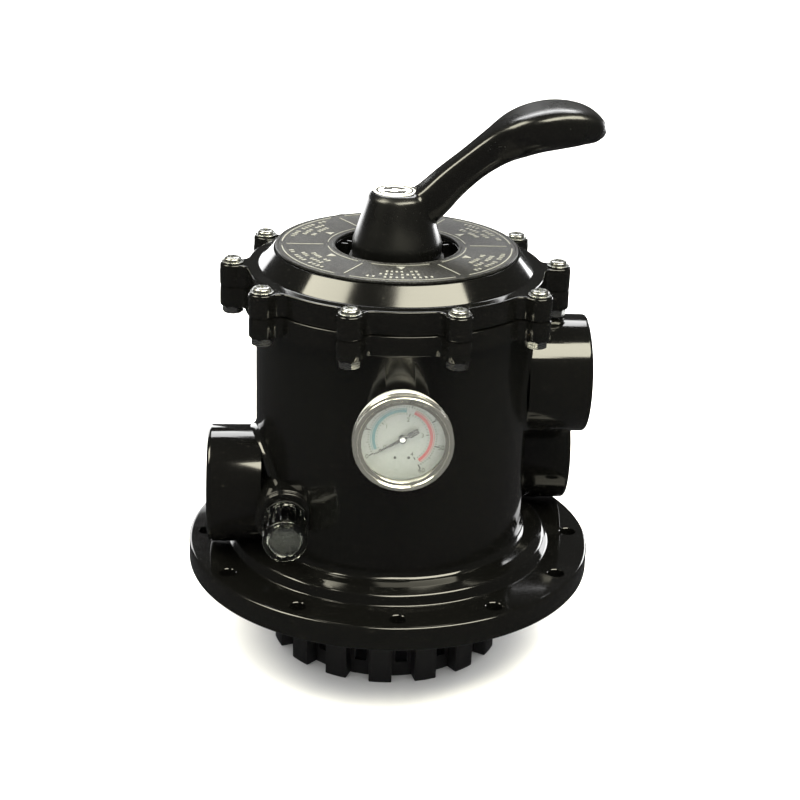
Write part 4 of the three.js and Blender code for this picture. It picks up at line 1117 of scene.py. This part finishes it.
# ------------------------------------------------------------- sight glass
class VALVE_OT_sight_glass(bpy.types.Operator):
    """Builds the sight glass: a clear ribbed cup screwed into the waste port's boss"""

    bl_idname = "valve.sight_glass"
    bl_label = "Sight glass"

    def execute(self, context):
        foot, top = -CUP_HIGH.y, -CUP_LOW.y
        head = SIGHT_FACE + 1.8
        cup = turned([
            (8.6, foot, 0.4), (8.6, head, 0), (SIGHT_R, head, 0.5), (SIGHT_R, head + 3.2, 0.4),
            (SIGHT_R - 0.9, head + 3.8, 0.4), (SIGHT_R - 0.9, top - 2.4, 0.4),
            (SIGHT_R - 0.2, top - 1.9, 0.4), (SIGHT_R - 0.2, top - 0.6, 0.6), (SIGHT_R - 1.6, top, 0.6),
            (SIGHT_R - 3.2, top, 0.4), (SIGHT_R - 3.6, top - 0.6, 0.3), (0, top - 0.5, 0),
            (0, top - 2.4, 0), (SIGHT_R - 2.4, top - 2.4, 1), (SIGHT_R - 2.4, head + 2, 1),
            (6.7, head + 2, 0.4), (6.7, foot, 0.4)], ROUND, 3)
        count = 18
        ribs = [
            placed(soften(bar(1.3, 1.5, head + 3, top - 2), 0.3), out_at(SIGHT_R - 0.75, 360 / count * i))
            for i in range(count)
        ]
        turn = along_front(SIGHT_X, LOW_LEVEL)
        whole = join(cup, together(*ribs), rod(0.9, top - 1, top, SMALL, 0.3))
        glass = show("sight_glass_moulding", placed(whole, turn), look(clear_styrene), "body", "clear_cup",
                     ["sight_glass_cup"])
        glass.visible_shadow = False
        return {"FINISHED"}


# ------------------------------------------------------------- diffuser, spring and inner pieces
class VALVE_OT_diffuser(bpy.types.Operator):
    """Builds the diffuser: a slotted basket with sixteen outer ribs"""

    bl_idname = "valve.diffuser"
    bl_label = "Diffuser"

    def execute(self, context):
        wall_r, rim_r, height = BASKET_HIGH.x - 7.5, BASKET_HIGH.x, BASKET_HIGH.z
        count, phase, hole_r, floor, wall = 16, -95.3, 30, 4, 3
        slot_width, slot_foot, slot_head = 7, 9, height - 13
        cup = turned([
            (hole_r, 0, 0.5), (wall_r, 0, 0.8), (wall_r, height, 0.8), (wall_r - wall, height, 0.6),
            (wall_r - wall, floor, 1), (hole_r, floor, 0.5)], FINE)
        pitch = 360 / count
        ribs = [
            placed(
                soften(ring_sector(wall_r - 1, rim_r, -pitch / 4, pitch / 4, 0, height, 4), 0.7),
                round_z(phase + pitch * i))
            for i in range(count)
        ]
        slots = [
            placed(
                soften(bar(12, slot_width, slot_foot, slot_head), 0.6),
                out_at(wall_r, phase + pitch * (i + 0.5)))
            for i in range(count)
        ]
        whole = cut(join(cup, together(*ribs)), together(*slots))
        show("diffuser_moulding", whole, look(spark_eroded_abs), "body", "satin_black", ["diffuser_basket"])
        return {"FINISHED"}


class VALVE_OT_spring(bpy.types.Operator):
    """Builds the rotor's spring, which shortens as the rotor lifts, as a wire closed at both ends, at one
    fixed length
    """

    bl_idname = "valve.spring"
    bl_label = "Rotor spring"

    def execute(self, context):
        wire, coil_r, turns, dwell = 1.6, 16.5, 5, 0.75
        low, high = SPRING_LOW.z + wire, SPRING_HIGH.z - wire
        runs, facets = 260, 14
        rings = []
        for k in range(runs + 1):
            turn = (turns + 2 * dwell) * k / runs
            climb = min(max((turn - dwell) / turns, 0), 1)
            rise = 2 * wire * (min(turn, dwell) + max(0, turn - turns - dwell)) / dwell
            level = low + rise + climb * (high - low - 4 * wire)
            spot = polar(coil_r, 2 * math.pi * turn, level)
            out = polar(1, 2 * math.pi * turn)
            rings.append([
                spot + (out * math.cos(a) + Vector((0, 0, 1)) * math.sin(a)) * wire
                for a in (2 * math.pi * j / facets for j in range(facets))])
        ends = [[sum(r, Vector()) / facets] for r in (rings[0], rings[-1])]
        coil = tidy(grid([ends[0], *rings, ends[1]], closed_run=False))
        piece = show("rotor_spring_wire", coil, look(spring_wire), "selector", "steel", ["rotor_spring"], 60)
        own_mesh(piece)
        return {"FINISHED"}


class VALVE_OT_inner_pieces(bpy.types.Operator):
    """Gives the rotor, stem, pins, washers, seals and gauge movement their finishes"""

    bl_idname = "valve.inner_pieces"
    bl_label = "Inner pieces"

    def execute(self, context):
        finishes = {
            moulded_abs: ("rotor", "stem"),
            nitrile_rubber: ("lid_seal", "spider_gasket", "stem_seal_1", "stem_seal_2", "gauge_seal",
                             "sight_glass_seal"),
            stainless_steel: ("drive_pin", "lever_pin"),
            turned_acetal: ("slip_washer", "thrust_washer"),
            turned_brass: ("gauge_stem", "gauge_pressure_tube", "gauge_movement"),
        }
        for maker, nodes in finishes.items():
            for node in nodes:
                repaint(node, look(maker))
        return {"FINISHED"}


# ------------------------------------------------------------- stage
def aimed(place_mm, target_mm, roll_deg=0.0):
    """A pose in metres that looks from one place to another."""
    start, end = Vector(place_mm) * MM, Vector(target_mm) * MM
    look_at = (end - start).to_track_quat("-Z", "Y").to_matrix().to_4x4()
    return Matrix.Translation(start) @ look_at @ Matrix.Rotation(math.radians(roll_deg), 4, "Z")


def softbox(name, azimuth, elevation, distance, size, power, colour="#ffffff", target=(0, 0, 170)):
    """A rectangular studio light. Azimuth 0 stands in front, at -Y, and 90 at +X."""
    a, e = math.radians(azimuth), math.radians(elevation)
    ray = Vector((math.sin(a) * math.cos(e), -math.cos(a) * math.cos(e), math.sin(e)))
    spot = Vector(target) + distance * ray
    data = bpy.data.lights.new(name, "AREA")
    data.shape, data.size, data.size_y = "RECTANGLE", size[0] * MM, size[1] * MM
    data.energy, data.color = power, linear(colour)
    lamp = bpy.data.objects.new(name, data)
    bpy.context.scene.collection.objects.link(lamp)
    lamp.matrix_world = aimed(spot, target)
    lamp.visible_camera = False
    return lamp


class VALVE_OT_stage(bpy.types.Operator):
    """Builds the pale floor, the soft lights and the camera"""

    bl_idname = "valve.stage"
    bl_label = "Stage"

    def execute(self, context):
        scene = context.scene
        low_tone, high_tone = linear("#f2f2f0"), linear("#f6f6f4")
        pale, tree, shader = finish("pale_floor", low_tone, Roughness=0.9)
        cloud = add(tree, "ShaderNodeTexNoise", {"Scale": per_mm(300), "Detail": 2.0})
        tint = add(tree, "ShaderNodeMixRGB", {
            "Fac": cloud.outputs["Fac"], "Color1": rgba(low_tone), "Color2": rgba(high_tone)})
        tree.links.new(tint.outputs["Color"], shader.inputs["Base Color"])
        disc = turned([(0, -6, 0), (4000, -6, 0), (4000, 0, 0), (0, 0, 0)], 64)
        mesh = bpy.data.meshes.new("floor")
        disc.transform(Matrix.Scale(MM, 4))
        disc.to_mesh(mesh)
        mesh.materials.append(pale)
        floor = bpy.data.objects.new("floor", mesh)
        scene.collection.objects.link(floor)
        floor.visible_glossy = False
        softbox("left_window", -84, 52, 1300, (560, 620), 15, "#fffae2")
        softbox("right_window", 34, 57, 1300, (1250, 560), 32, "#fffae2")
        softbox("left_rear", -150, 2, 700, (420, 300), 2)
        softbox("right_rear", 135, 2, 800, (300, 260), 2)
        softbox("rear_window", 176, 46, 1400, (900, 500), 12)
        overhead = softbox("overhead", 0, 90, 3000, (9000, 9000), 560)
        overhead.visible_glossy = overhead.visible_transmission = False
        world = bpy.data.worlds.new("studio")
        scene.world = world
        world.use_nodes = True
        nodes = world.node_tree
        path = add(nodes, "ShaderNodeLightPath").outputs
        dim = add(nodes, "ShaderNodeMath", {
            0: path["Is Diffuse Ray"], 1: 0.8, 2: 0.06}, operation="MULTIPLY_ADD")
        level = add(nodes, "ShaderNodeMath", {
            0: path["Is Camera Ray"], 1: dim.outputs[0]}, operation="MAXIMUM")
        backdrop = nodes.nodes["Background"]
        backdrop.inputs["Color"].default_value = (1, 1, 1, 1)
        nodes.links.new(level.outputs[0], backdrop.inputs["Strength"])
        camera = bpy.data.cameras.new("camera")
        camera.sensor_width, camera.lens = 36, 77.1
        camera.clip_start, camera.clip_end = 0.05, 50
        eye = bpy.data.objects.new("camera", camera)
        scene.collection.objects.link(eye)
        roll = scene.valve_sizes.camera_roll_deg
        eye.matrix_world = aimed((-54.2, -896.2, 502.7), (4.4, -0.3, 144.1), roll)
        scene.camera = eye
        scene.view_settings.view_transform = "Standard"
        return {"FINISHED"}


# ------------------------------------------------------------- settings, panel and registration
class ValveSizes(bpy.types.PropertyGroup):
    port_fillet: FloatProperty(
        name="Port fillet", description="Radius of the fillet between a port and the barrel",
        default=4 * MM, min=0.5 * MM, max=8 * MM, unit="LENGTH")
    thread_pitch: FloatProperty(
        name="Thread pitch", description="Pitch of the pipe thread in the ports",
        default=2.31 * MM, min=1 * MM, max=4 * MM, unit="LENGTH")
    camera_roll_deg: FloatProperty(
        name="Camera roll", description="Roll of the camera about its own view, in degrees", default=1.85)


class ValveFinishes(bpy.types.PropertyGroup):
    abs_black: FloatVectorProperty(
        name="Glossy black", description="Colour of the glossy mouldings",
        default=linear("#070706"), size=3, subtype="COLOR", min=0, max=1)
    satin_black: FloatVectorProperty(
        name="Satin black", description="Colour of the diffuser",
        default=linear("#101010"), size=3, subtype="COLOR", min=0, max=1)


OPERATORS = (
    VALVE_OT_stage, VALVE_OT_body, VALVE_OT_lid, VALVE_OT_label_plate, VALVE_OT_fasteners, VALVE_OT_lever,
    VALVE_OT_gauge, VALVE_OT_sight_glass, VALVE_OT_diffuser, VALVE_OT_spring, VALVE_OT_inner_pieces,
)


class VALVE_PT_panel(bpy.types.Panel):
    """Lists the valve's pieces, sizes and colours"""

    bl_idname = "VALVE_PT_panel"
    bl_label = "Multiport valve"
    bl_space_type = "VIEW_3D"
    bl_region_type = "UI"
    bl_category = "Valve"

    def draw(self, context):
        scene = context.scene
        for group in (scene.valve_sizes, scene.valve_finishes):
            for name in group.__annotations__:
                self.layout.prop(group, name)
        for operator in OPERATORS:
            self.layout.operator(operator.bl_idname)


CLASSES = (ValveSizes, ValveFinishes, *OPERATORS, VALVE_PT_panel)


def register():
    for each in CLASSES:
        bpy.utils.register_class(each)
    bpy.types.Scene.valve_sizes = PointerProperty(type=ValveSizes)
    bpy.types.Scene.valve_finishes = PointerProperty(type=ValveFinishes)


def unregister():
    del bpy.types.Scene.valve_finishes
    del bpy.types.Scene.valve_sizes
    for each in reversed(CLASSES):
        bpy.utils.unregister_class(each)


def main():
    register()
    for operator in OPERATORS:
        group, name = operator.bl_idname.split(".")
        getattr(getattr(bpy.ops, group), name)()


if __name__ == "__main__":
    main()
